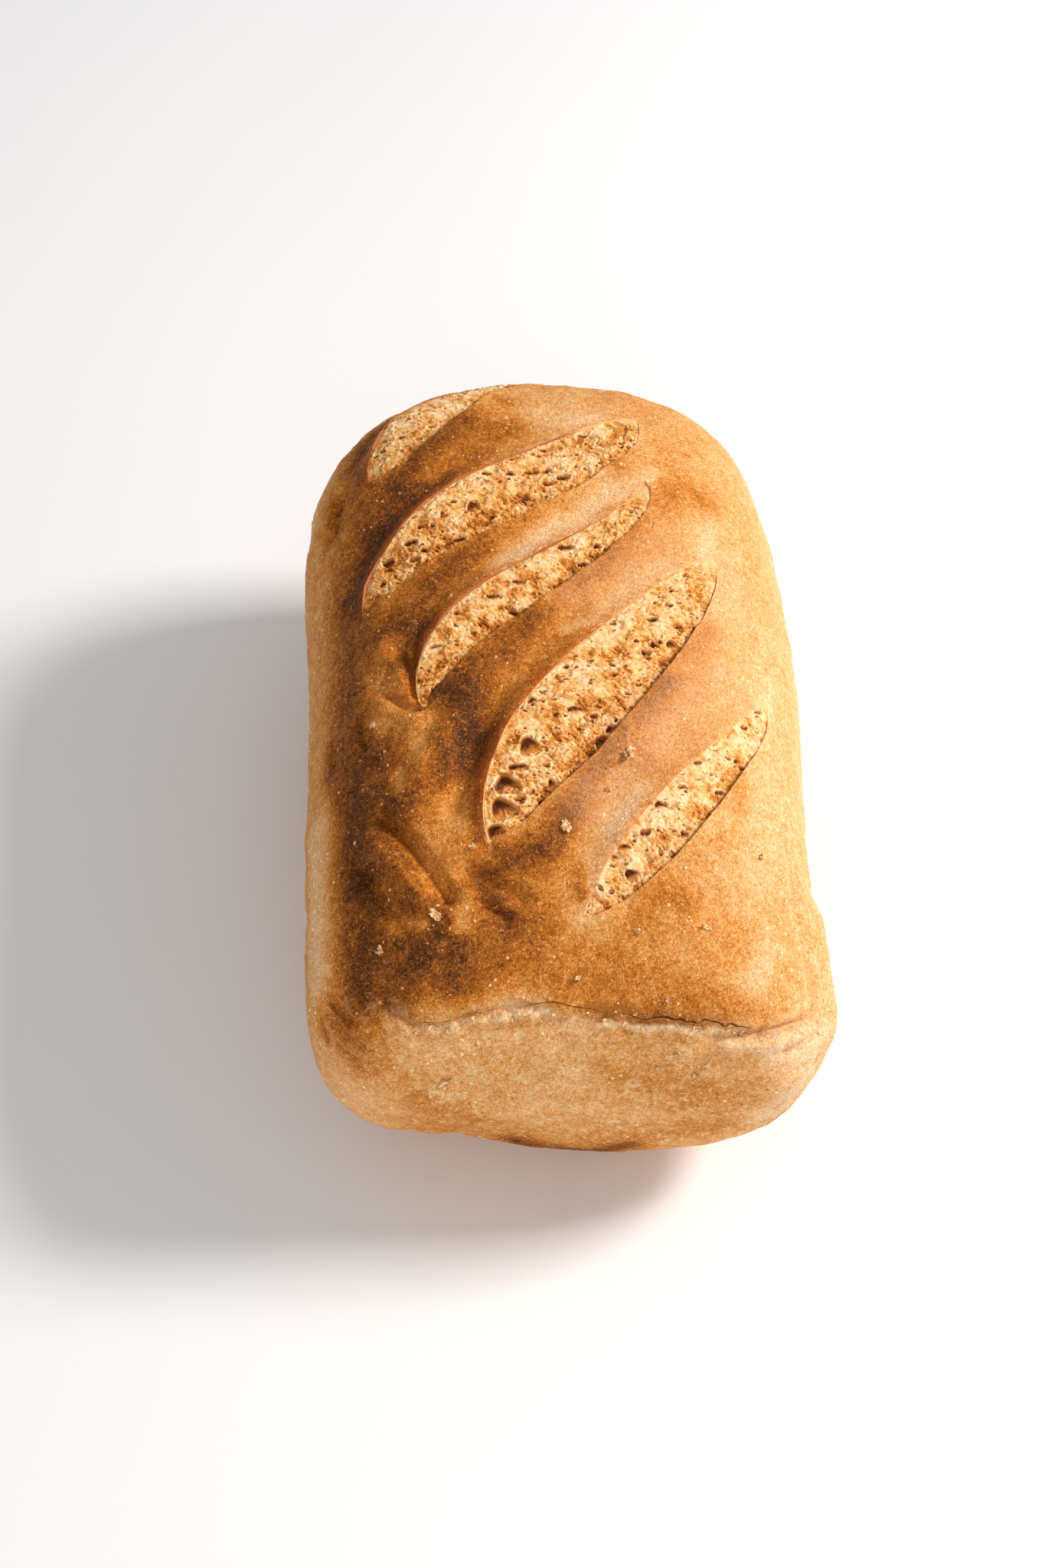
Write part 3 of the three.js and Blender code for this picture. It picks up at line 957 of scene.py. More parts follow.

# %% [markdown]
# ## How toasted the crust is
# Where the loaf faced the fire it browned more: the left shoulder is nearly burnt, the bands between
# the slashes go from gold to red brown towards the next slash, and the right flank and the near end
# stayed pale. An even gradient would look like plastic, so this is painted with soft strokes, each a
# route with a reach and an amount. A few strokes also paint shade into dimples, hollows, a dip and
# wrinkles, and light onto the left flank.

# %% Strokes
BASE_TOAST = 0.42
STROKES = {  # route, reach in mm and how toasted it is there; a later stroke lies over an earlier one
    "top of the dome": ([(8, 86, 97), (6, 58, 102)], 16, 0.32),
    "crown of the far end": ([(0, 79, 99), (7, 77, 99), (14, 75, 99)], 5, 0.20),
    "far right top": ([(25, 73, 99), (34, 61, 98)], 11, 0.38),
    "right shoulder": ([(47, -74, 84), (51, -25, 90), (47, 9, 94), (43, 34, 96)], 14, 0.27),
    "right flank": ([(64, -90, 55), (66, 0, 60), (60, 80, 60)], 26, 0.14),
    "left flank": ([(-62, -90, 60), (-64, 0, 60), (-60, 60, 60)], 20, 0.40),
    # Paler far and low along the left flank: the pale tin side, partly painted light from the bright
    # surroundings.
    "left flank, far": ([(-59, 75, 73), (-62, 60, 72)], 5, 0.20),
    "left flank, low": ([(-60, -87, 68), (-60, -69, 75), (-61, -49, 77)], 7, 0.10),
    "near end": ([(-45, -106, 45), (0, -110, 48), (50, -108, 45)], 20, 0.27),
    "low middle": ([(-9, -97, 80), (4, -97, 80), (22, -100, 78), (38, -101, 74)], 9, 0.58),
    "near right top": ([(18, -89, 86), (37, -91, 82), (46, -92, 78)], 8, 0.42),
    "above the crease, left": (
        [(-35, -101, 76), (-26, -102, 75), (-15, -101, 76), (-7, -101, 76)], 3, 0.28),
    "left of the first slash": (
        [(-48, 39, 94), (-49, 55, 92), (-50, 69, 90), (-47, 78, 89), (-41, 87, 89)], 5, 0.76),
    "between the first two slashes": (
        [(-39, 52, 98), (-34, 60, 99), (-28, 68, 99), (-22, 76, 99)], 6, 0.82),
    "along the second slash": ([(-31, 47, 101), (-22, 57, 101), (-16, 64, 101), (-10, 72, 100)], 5, 0.68),
    "left shoulder, far": ([(-52, 14, 91), (-55, 39, 87), (-53, 58, 88)], 6, 0.59),
    "left shoulder, middle": ([(-52, -28, 90), (-52, -7, 90), (-52, 13, 91)], 8, 0.74),
    "left shoulder, near": ([(-48, -98, 73), (-48, -80, 83), (-49, -61, 88), (-50, -39, 91)], 9, 0.85),
    "warm shoulder": ([(-39, -96, 79), (-39, -79, 88), (-39, -61, 94), (-39, -44, 97)], 6, 0.72),
    "left of the second slash": ([(-49, 17, 93), (-48, 29, 94), (-43, 38, 97), (-38, 46, 99)], 6, 0.88),
    "by the second slash's tip": ([(-45, 13, 96), (-47, 8, 94)], 2.5, 0.64),
    "between their tips": ([(-43, 0, 97), (-39, 3, 98), (-34, 7, 100)], 6, 0.80),
    "left of the third slash's tip": ([(-33, 0, 100), (-35, -8, 99), (-36, -18, 99)], 4, 0.84),
    "along the third slash": ([(-32, 14, 100), (-27, 18, 102), (-20, 25, 102), (-12, 32, 103)], 5, 0.74),
    "along the third slash, far": ([(-6, 37, 103), (0, 41, 103)], 4, 0.54),
    "far between the second and third": (
        [(-12, 19, 103), (-6, 24, 103), (1, 31, 103), (9, 35, 103), (16, 44, 102), (23, 48, 102)], 3.5, 0.12),
    "right of the third slash": ([(-22, -18, 101), (-14, -11, 102), (-6, 0, 103)], 6.5, 0.78),
    "right of the third slash, far": (
        [(4, 10, 103), (11, 16, 103), (17, 25, 103), (23, 33, 102)], 4.5, 0.64),
    "middle of the band": ([(-7, -20, 102), (0, -10, 102), (7, 0, 102)], 4, 0.54),
    "far along the fourth slash": ([(14, 3, 102), (22, 12, 102), (32, 20, 100)], 3.5, 0.16),
    "left of the fourth slash": (
        [(-28, -22, 101), (-22, -27, 101), (-21, -35, 101), (-23, -44, 100)], 6.5, 0.94),
    "left of the fourth slash's tip": ([(-19, -47, 100), (-20, -55, 98), (-20, -63, 96)], 3, 0.68),
    "golden by the fourth slash's tip": ([(-25, -55, 98), (-25, -65, 96), (-27, -72, 93)], 4.5, 0.46),
    "pinch": ([(-43, -13, 96), (-39, -20, 98), (-36, -30, 98), (-34, -38, 99)], 4, 0.50),
    "right of the fourth slash": (
        [(-14, -72, 94), (-4, -68, 95), (3, -60, 97), (10, -48, 100), (18, -36, 101),
         (27, -22, 100)], 5.5, 0.80),
    "right of the fourth slash, far": ([(32, -14, 100), (38, -2, 98)], 4, 0.56),
    "middle of the last band": ([(6, -73, 93), (13, -56, 98), (24, -41, 100), (35, -27, 98)], 4.5, 0.36),
    "along the fifth slash": ([(4, -85, 89), (8, -75, 93), (13, -64, 96), (20, -54, 98)], 2.5, 0.14),
    "flank by the pinch": ([(-48, -33, 93), (-43, -41, 95), (-39, -53, 96)], 5, 0.82),
    "golden rise": ([(-34, -64, 95), (-32, -70, 93), (-27, -79, 90)], 4, 0.50),
    "near left top": ([(-35, -91, 83), (-30, -85, 87), (-25, -93, 83), (-27, -97, 80)], 6, 0.84),
    "below the hollows": ([(-9, -85, 88), (-10, -90, 86), (-18, -94, 83)], 5, 0.66),
    # Painted shade in the hollows left of the fifth slash.
    "hollows": ([(-20, -76, 92), (-16, -81, 90), (-14, -86, 88)], 3.5, 0.84),
    "browned beside the fourth slash": (
        [(19, -34.8, 100.7), (19.8, -40.8, 100.2), (19.8, -46.6, 99.5)], 3, 0.60),
    "pale spot by the fifth slash": ([(11.2, -64.9, 96.2), (15.1, -60.1, 97.3)], 2, 0.02),
    "pale beside the third slash's middle": ([(3.9, -4.1, 102.4), (11.4, -1.1, 102.4)], 2.4, 0.30),
    "browned between the second and third": ([(-12.2, 33.1, 102.8), (-2.6, 35.1, 102.8)], 2, 0.58),
    # Painted shade in the sunken crust under the third slash's tip.
    "dark under the third slash's tip": ([(-39.1, -8.4, 98.1), (-40.2, -11.1, 97.6)], 2.4, 0.80),
    "gold left of the pinch": ([(-44.9, -27.7, 95), (-43.4, -29.3, 95.7)], 2, 0.42),
    "gold on the shoulder": ([(-39.5, -46.2, 96.1), (-38.8, -49.9, 95.9)], 2.2, 0.40),
    "gold by the dip": ([(-34.2, -35.7, 98.7), (-33.9, -43.6, 98.1)], 1.8, 0.42),
    # Darker in the dip: partly browning, partly painted shade.
    "dark in the dip": ([(-29.3, -36.6, 99.6), (-29.1, -50.2, 98.2)], 2, 0.82),
    "browned by the fourth slash's tip": ([(-19.9, -55.3, 98.2), (-20.1, -66.4, 95.5)], 1.8, 0.74),
    "gold left of the hollows": ([(-25.1, -79.6, 90.4), (-24.9, -85.9, 87.3)], 2.2, 0.40),
    "gold under the long groove": ([(-40.6, -83, 85.3), (-34.1, -84.9, 86.4)], 2, 0.48),
    "browned under the fifth slash's left edge": ([(2.8, -74.5, 93.1), (3.7, -80.4, 90.6)], 2, 0.60),
    "brown at the crease's left end": ([(-41.8, -102.1, 72.6), (-38.1, -103.3, 72.1)], 1.8, 0.80),
    "gold in the crease's left part": ([(-22.1, -103.9, 72.4), (-11.2, -104, 72.2)], 1.8, 0.56),
    "pale under the middle of the crease": (
        [(-0.2, -105, 70.6), (8.9, -106.6, 67.5), (0.5, -109.3, 58.9), (10.9, -109.8, 55.9)], 3.5, 0.10),
    "gold right of the fifth slash": ([(43.4, -46.9, 93.2), (42.4, -55.9, 92.4)], 2.2, 0.50),
    "pale on the near right shoulder": ([(44.7, -95.9, 76.3), (50.1, -88.2, 76.9)], 4, 0.14),
    "gold at the second slash's far tip": ([(19.1, 59.4, 101.1), (19.6, 53, 101.6)], 2, 0.58),
    "brown at the first slash's far tip": ([(-12.6, 87.1, 96.3), (-10.1, 84.8, 97.1)], 2, 0.62),
    "pale above the second slash": ([(6.2, 73.7, 99.7), (13.8, 76.9, 98.8)], 1.8, 0.08),
    # Painted shade in the dimples: they are darkened for the shade that falls in these dents.
    "dimples": ([(-53.8, 57, 87), (-54.2, 55, 87), (-55, 50, 86.4), (-55.4, 47, 86)], 2.1, 1.0),
    "side dimple": ([(-58, -28, 84), (-58, -34, 84)], 2.4, 0.8),
    "by the third slash's far tip": ([(29, 41, 101), (35, 50, 99), (40, 47, 97)], 5, 0.54),
    "patch below the fifth slash": ([(17, -86, 88), (23, -78, 91), (28, -82, 89)], 3, 0.58),
    "golden near end, left": ([(-42, -108, 62), (-34, -110, 46), (-19, -108, 35)], 6, 0.46),
    "golden near end, right": ([(12, -109, 60), (26, -110, 51), (39, -110, 49)], 8, 0.44),
    "right corner of the near end": ([(36, -107, 66), (48, -106, 63), (60, -100, 57)], 5, 0.00),
    "right edge of the near end": (
        [(58, -104, 52), (54, -107, 42), (46, -108, 34), (27, -107, 25)], 5, 0.02),
    "left corner of the near end": ([(-58, -96, 65), (-52, -102, 67), (-49, -106, 63)], 5, 0.50),
    "under the crease, left": ([(-38, -104, 66), (0, -107, 68)], 6, 0.27),
    "under the crease, right": ([(14, -107, 68), (28, -108, 65), (42, -108, 62)], 5, 0.34),
    "golden foot": ([(-36, -106, 34), (0, -106, 22), (38, -108, 34)], 8, 0.44),
    "tail of the third slash": ([(25, 46, 102), (28, 54, 101)], 1.8, 0.08),
    "tail of the fourth slash": ([(40, 25, 97), (42, 35, 96)], 2.2, 0.08),
    "tail of the fifth slash": ([(52, -22, 89), (55, -11, 86)], 2.0, 0.08),
    # Painted shade in the four wrinkles at the near left corner.
    "first wrinkle at the corner": (
        [(-59.8, -96, 61.8), (-59.3, -97.4, 61.2), (-58.1, -100.1, 60.2)], 0.9, 0.74),
    "second wrinkle at the corner": (
        [(-57, -94.8, 68), (-55.4, -97.4, 67.9), (-53, -100.4, 67.8)], 1.2, 0.80),
    "third wrinkle at the corner": (
        [(-54.3, -101.6, 64.8), (-52.2, -103.3, 64.9), (-49, -104.7, 65.4)], 1.0, 0.74),
    "fourth wrinkle at the corner": ([(-52.6, -105.2, 60.8), (-50.2, -106.7, 60)], 0.9, 0.64),
    "pale rim left of the crease": (
        [(-44.8, -99.5, 74.1), (-44.2, -101.3, 72.6), (-42.8, -103.4, 70.7)], 0.8, 0.16),
    # A dark strip where the foot rounds under: partly bottom crust, partly painted shade.
    "browned and shaded strip at the foot": (
        [(-12, -105, 23), (-7, -104, 18), (1, -104, 15), (8, -105, 17), (15, -107, 22)], 4.2, 0.80),
}
BLOOM_STROKES = {  # route, reach in mm and amount: flour that baked on and dulls the gold
    "band by the fifth slash": ([(10, -56, 98), (24, -38, 100), (38, -16, 97)], 9, 0.75),
    "band by the fourth slash": ([(6, 8, 103), (30, 28, 100)], 7, 0.5),
    "right of the fourth slash": ([(44, 20, 94), (40, -4, 97)], 9, 0.5),
    "near left corner": ([(-58, -103, 53), (-48, -108, 42)], 9, 0.5),
}
print("strokes:", len(STROKES), "of toast and", len(BLOOM_STROKES), "of bloom")

# %% [markdown]
# ## The brush
# The strokes are laid on the corners one after the other, each fading away from its line. Other notes
# follow the slash edges, the crease and the folds, for the thin rosy crust of an ear, cream rims, painted
# shade along the crease and in the sharp folds, and pale torn skin.

# %% Brush the browning on
STROKE_WIDTH = 1.15
EAR_TOAST, EAR_TOAST_REACH = 0.10, 4  # the crust just above a slash is browner
LIP_PALE, LIP_PALE_REACH = 0.06, 5  # and just below it paler
ROSY_PLACE, ROSY_REACH = 0.8, 2.1
CREAM_REACH, FAR_TIP_REACH = 0.45, 1.6
# The crease's painted shade reaches this far above and below it; sharp folds get a line of it too.
CREASE_SHADE_ABOVE, CREASE_SHADE_BELOW = 2.3, 0.8  # how far the brown goes on both sides of the crease, mm
TORN_SKIN_PLACE, TORN_SKIN_REACH = 1.9, 1.3  # the pale strip under it, mm
SHARP_FOLD_DEPTH, SHARP_FOLD_REACH = 0.8, 1.8  # a fold deeper and narrower than this has a brown line


def brush(piece):
    points = corners_of(piece)[0]
    toast = np.full(len(points), BASE_TOAST)
    for route, reach, level in STROKES.values():
        landed = put_on_body(np.array(route, float))
        toast += (level - toast) * near_line(points, landed, STROKE_WIDTH * reach)
    rosy, cream, bloom, far_tip = (np.zeros(len(points)) for _ in range(4))
    for route, reach, amount in BLOOM_STROKES.values():
        bloom = np.maximum(bloom, amount * near_line(points, route, reach))
    for slash in SLASHES:
        left, along_left = path_distance(points, slash["left edge"])
        right, along_right = path_distance(points, slash["right edge"])
        fade = tapered(along_left)
        lower = ease((0.75 - along_left) / 0.5)
        toast += EAR_TOAST * slash["ear"] * bell(left, EAR_TOAST_REACH) * fade * lower
        toast -= LIP_PALE * bell(right, LIP_PALE_REACH) * tapered(along_right)
        rosy_here = slash["ear"] * bell(left - ROSY_PLACE, ROSY_REACH) * fade * (0.35 + 0.65 * lower)
        rosy = np.maximum(rosy, rosy_here)
        cream = np.maximum(cream, slash["rim"] * bell(left, CREAM_REACH) * (0.3 + 0.7 * lower))
        runs_out = ease((np.maximum(along_left, along_right) - 0.78) / 0.14)
        far_tip = np.maximum(far_tip, runs_out * bell(np.minimum(left, right), FAR_TIP_REACH))
    gap, share = path_distance(points, crease)
    above = above_crease(points, share)
    # Painted shade in the crease, along the corner tear and in the sharp folds.
    crease_shade = bell(gap, np.where(above, CREASE_SHADE_ABOVE, CREASE_SHADE_BELOW)) * tapered(share) * crease_strength(share)
    torn_skin = np.where(above, 0, bell(gap - TORN_SKIN_PLACE, TORN_SKIN_REACH)) * tapered(share)
    torn_skin *= 0.5 + 0.5 * ease((share - 0.2) * 2.2)
    gap, share = path_distance(points, CORNER_TEAR)
    crease_shade = np.maximum(crease_shade, 0.8 * bell(gap, 1.0) * tapered(share))
    for name, (route, reach, amount) in FOLDS.items():
        if amount < -SHARP_FOLD_DEPTH and reach < SHARP_FOLD_REACH and name != "corner tear":
            crease_shade = np.maximum(crease_shade, 0.45 * near_line(points, route, 0.6 * reach))
    torn_skin = np.maximum(torn_skin, 0.9 * near_line(points, FOLDS["roll under the corner tear"][0], 1.4))
    scuff = ease((76 - points[:, 2]) / 8) * ease(-points[:, 1] / 40 - 1.6) * ease((points[:, 0] + 66) / 30)
    scuff *= 1 - near_line(points, STROKES["browned and shaded strip at the foot"][0], 5)
    write_on(piece, **{
        "toast": toast.clip(0, 1), "rosy": rosy, "cream edge": cream.clip(0, 1), "scuff": scuff,
        "bloom": bloom, "crease_shade": crease_shade, "torn skin": torn_skin, "far tip": far_tip,
    })
    return toast


toast = brush(crust)
print("toast from", toast.min().round(2), "to", toast.max().round(2))

# %% [markdown]
# ## The open crumb
# Inside each slash the crumb shows: cream walls round pores, with torn strands between them, and the
# pores' brown is painted shade. A crumb pad is a closed leaf on a fine grid, a little wider than its groove
# so that it tucks in under the crust. Its material reads notes that the pore tree leaves: the painted shade
# in a pore, whether a place is a rim, and how high it stands, from which low places get painted shade.
# A little light goes on under the surface, as it does in real crumb.

# %% Crumb material
CRUMB_COLOURS = {
    0.0: (255, 226, 186), 0.3: (249, 206, 148), 0.5: (234, 174, 98), 0.7: (206, 134, 50),
    0.85: (166, 96, 26), 1.0: (118, 62, 16),
}
ACCENT, MEMBRANE = shade(206, 128, 48), shade(220, 146, 78)
# Painted shade inside the pores: brown, then near black where they are overhung.
PORE_SHADE, PORE_DEEP_SHADE = shade(196, 116, 38), shade(80, 38, 8)
# LIP_SHADE_STREAK is painted shade by the right edge, under the lip.
LIP_SHADE_STREAK, CALM_MARGIN, SMOOTH_TAIL = shade(116, 64, 20), shade(164, 104, 46), shade(240, 192, 134)
crumb_inside, tree, shader, place = new_material("crumb_inside")
patches = mottle(tree, place, 4.2, 4, 0.65, 0.8, 21)
leaf = put(tree, "ShaderNodeAttribute", attribute_name="leaf_place").outputs["Vector"]
run = reckon_vector(tree, "MULTIPLY", leaf, (1.0, 0.36, 1.0))
streaks = mottle(tree, run, 0.85, 4, 0.7, 1.4, 22)
crumbs_grain = mottle(tree, place, 0.5, 3, 0.7, 0, 24)
# Low places are painted browner and raised ones paler: painted shade and painted highlight that follow the
# relief.
amount = minus(tree, note(tree, "golden"), times(tree, note(tree, "lift"), 0.6))
for cloud, low, least, most in (
    (patches, 0.34, -0.40, 0.38), (streaks, 0.32, -0.24, 0.24), (crumbs_grain, 0.3, -0.12, 0.12),
):
    amount = plus(tree, amount, stretch(tree, cloud, low, 1 - low, least, most, "LINEAR"))
amount = reckon(tree, "SUBTRACT", amount, times(tree, note(tree, "rim"), 0.35), clamp=True)
colour = ramp(tree, amount, CRUMB_COLOURS)
accents = stretch(tree, mottle(tree, place, 2.8, 3, 0.6, 1.0, 25), 0.58, 0.68, 0, 0.6)
colour = paint(tree, accents, colour, ACCENT)
colour = paint(tree, times(tree, note(tree, "membrane"), 0.4), colour, MEMBRANE)
wiggles = mottle(tree, run, 0.42, 2, 0.6, 2.2, 26)
calm = stretch(tree, note(tree, "calm"), 0, 1, 0.0, 0.8, "LINEAR")
shades = shading(tree, wiggles, 0.36, 0.6, (0.82, 0.66, 0.42), 1.08)
colour = paint(tree, minus(tree, 1.0, calm), colour, shades, "MULTIPLY")
hollow = times(tree, note(tree, "hollow"), stretch(tree, streaks, 0.3, 0.6, 0.75, 1.1))
# The hollow note is painted shade in the pores.
colour = paint(tree, stretch(tree, hollow, 0.0, 0.4, 0, 0.8), colour, PORE_SHADE)
colour = paint(tree, stretch(tree, hollow, 0.35, 0.9, 0, 0.94), colour, PORE_DEEP_SHADE)
# Painted shade in streaks along the right edge, under the lip.
lip_shade = times(tree, stretch(tree, note(tree, "across"), 0.22, 0.04), stretch(tree, streaks, 0.48, 0.58))
colour = paint(tree, times(tree, lip_shade, 0.75), colour, LIP_SHADE_STREAK)
margin = times(tree, stretch(tree, note(tree, "across"), 0.42, 0.06), calm)
colour = paint(tree, margin, colour, CALM_MARGIN)
tail = minus(tree, 1.0, note(tree, "torn"))
colour = paint(tree, tail, colour, SMOOTH_TAIL)
height_map = plus(tree, streaks, times(tree, wiggles, 0.6))
roughness = stretch(tree, streaks, 0.3, 0.7, 0.7, 0.92)
give_finish(tree, shader, colour, roughness, (0.7, 0.3, height_map), shine=0.25)
for setting, value in (("Weight", 0.3), ("Radius", (1.0, 0.5, 0.2)), ("Scale", 1.0 * MM)):
    shader.inputs["Subsurface " + setting].default_value = value
print("crumb material:", crumb_inside.name)

# %% [markdown]
# ## Pores and strands
# Crumb is a foam that was pulled open. A Geometry Nodes tree sinks oval pores of three sizes into a pad,
# deeper on their upper side where the foam hangs over, lifts their rims, and raises strands that run
# across the slash. It notes painted shade on each pore's overhung upper side. The big pores that are
# placed one by one come in as notes.

# %% Pore tree
LARGEST_PORE = 0.46  # a pore's radius at most, as a share of its cell
PORE_LAYERS = (  # cell size in mm, share of cells with a pore, depth, and a shift that sets layers apart
    (3.0, 0.16, 0.9, 0), (1.8, 0.26, 0.7, 31), (1.0, 0.24, 0.35, 57),
)
pores, given = new_tree("crumb pores", {
    "Pore size": "Float", "Pore depth": "Float", "Fibre height": "Float", "Lump height": "Float",
    "Seed": "Float", "Material": "Material",
})


def stored(tree, geometry, name, value):
    """Writes a number on every point, for the material to read."""
    feeds = {"Geometry": geometry, "Name": name, "Value": value}
    way = {"data_type": "FLOAT", "domain": "POINT"}
    return put(tree, "GeometryNodeStoreNamedAttribute", feeds, **way).outputs[0]


def plain_noise(tree, place, size, detail=2.0, output=0):
    feeds = {"Vector": place, "Scale": 1 / size, "Detail": detail}
    return put(tree, "ShaderNodeTexNoise", feeds).outputs[output]


def cloudy_direction(place, size):
    """From -0.5 to 0.5 each way."""
    noise = plain_noise(pores, place, size, output=1)
    return reckon_vector(pores, "SUBTRACT", noise, (0.5, 0.5, 0.5))


def strayed(place, direction, reach):
    """A place, moved that way by up to half of reach in mm."""
    return reckon_vector(pores, "ADD", place, reckon_vector(pores, "MULTIPLY", direction, reach))


knobs = given.outputs
shift = put(pores, "ShaderNodeCombineXYZ", {0: times(pores, knobs["Seed"], 137.0)}).outputs[0]
leaf = reckon_vector(pores, "ADD", named(pores, "leaf_place", "FLOAT_VECTOR"), shift)
wobble = cloudy_direction(leaf, 2.2)
leaf = strayed(leaf, wobble, (2.0, 1.6, 0))
bent = strayed(scaled_place(pores), wobble, (2.4, 2.0, 0))
bent = strayed(bent, cloudy_direction(leaf, 0.8), (0.8, 0.8, 0))
oval = reckon_vector(pores, "MULTIPLY", bent, (0.6, 1.0, 0.0))
open_part = stretch(pores, named(pores, "inside"), -0.1, 0.9)
open_part = times(pores, open_part, named(pores, "torn"))


def pore_layer(size, share, depth, offset):
    """Oval pores in a share of cells: how deep each point sinks, the painted shade on its overhung upper
    side, and its pale rim.
    """
    cell = times(pores, knobs["Pore size"], size)
    moved = reckon_vector(pores, "ADD", oval, (offset, offset, 0))
    feeds = {"Vector": moved, "Scale": reckon(pores, "DIVIDE", 1, cell)}
    cells = put(pores, "ShaderNodeTexVoronoi", feeds, voronoi_dimensions="2D")
    dice = put(pores, "FunctionNodeSeparateColor", {0: cells.outputs["Color"]}).outputs[0]
    radius = stretch(pores, dice, 1 - share, 1, 0.002, LARGEST_PORE, "LINEAR")
    apart = cells.outputs["Distance"]
    part = stretch(pores, apart, radius, times(pores, radius, 0.5))
    relative = times(pores, radius, 1 / LARGEST_PORE)
    sink = times(pores, part, relative, times(pores, knobs["Pore depth"], depth))
    from_middle = reckon_vector(pores, "SUBTRACT", moved, cells.outputs["Position"])
    uphill = put(pores, "ShaderNodeSeparateXYZ", {0: from_middle}).outputs[1]
    side = reckon(pores, "DIVIDE", uphill, times(pores, cell, radius))
    sink = times(pores, sink, stretch(pores, side, -0.9, 0.5, 0.2, 1.0))
    overhung = times(pores, stretch(pores, side, -0.3, 0.6, 0.25, 1.0), part)
    # Painted shade on the overhung upper side of a pore.
    dark = times(pores, overhung, stretch(pores, relative, 0.1, 0.6))
    rim = stretch(pores, apart, times(pores, radius, 1.5), times(pores, radius, 1.05))
    rim = times(pores, minus(pores, rim, part), stretch(pores, relative, 0.1, 0.5))
    return sink, dark, rim


layers = [pore_layer(*layer) for layer in PORE_LAYERS]
sunk, dark, rim = (larger(pores, *(layer[k] for layer in layers)) for k in range(3))
pit = named(pores, "pit")
sunk = larger(pores, plus(pores, sunk, reckon(pores, "MINIMUM", pit, 0.0)), pit)
sunk = times(pores, sunk, open_part)
dark = times(pores, larger(pores, dark, named(pores, "pit shade")), open_part)
rim = larger(pores, rim, named(pores, "pit rim"))
strands = put(pores, "ShaderNodeTexNoise", {
    "Vector": reckon_vector(pores, "MULTIPLY", leaf, (1.0, 0.38, 1.0)),
    "Scale": 0.75, "Detail": 2.5, "Distortion": 1.2,
}).outputs[0]
ridge = reckon(pores, "ABSOLUTE", centred(pores, strands, 2.0))
fibres = stretch(pores, ridge, 0.0, 0.34, 0.5, -0.5)
rough_part = stretch(pores, named(pores, "across"), 0.9, 0.3, 0.25, 1.0)
fibres = times(pores, fibres, rough_part, knobs["Fibre height"])
skin = put(pores, "ShaderNodeTexVoronoi", {
    "Vector": strayed(leaf, wobble, (5, 5, 0)), "Scale": 1 / 8.5,
}, voronoi_dimensions="2D", feature="DISTANCE_TO_EDGE").outputs["Distance"]
membrane = times(pores, stretch(pores, skin, 0.07, 0.01), open_part)
lump = times(pores, centred(pores, plain_noise(pores, leaf, 6.5, 3.0), 1.0), knobs["Lump height"])
rough = centred(pores, plain_noise(pores, leaf, 1.3, 2.0), 0.55)
swell = times(pores, plus(pores, plus(pores, lump, rough), fibres), open_part)
raised = plus(pores, swell, times(pores, membrane, 0.4))
raised = plus(pores, raised, times(pores, rim, open_part, 0.18))
made = push_along_normal(pores, knobs["Geometry"], minus(pores, raised, sunk))
# hollow carries the pores' painted shade to the material.
for name, value in (("hollow", dark), ("rim", rim), ("lift", swell), ("membrane", membrane)):
    made = stored(pores, made, name, value)
end_tree(pores, made, knobs["Material"])
print("pore tree:", len(pores.nodes), "nodes")

# %% [markdown]
# ## Five crumb pads
# The pads differ as the slashes do: the first is calm and nearly smooth, the third is tight and streaky,
# and the fourth is open, with three big pores stacked in its lower tip. Big pores that the eye finds at
# once are placed by their spot on the loaf; the rest are left to the seed.

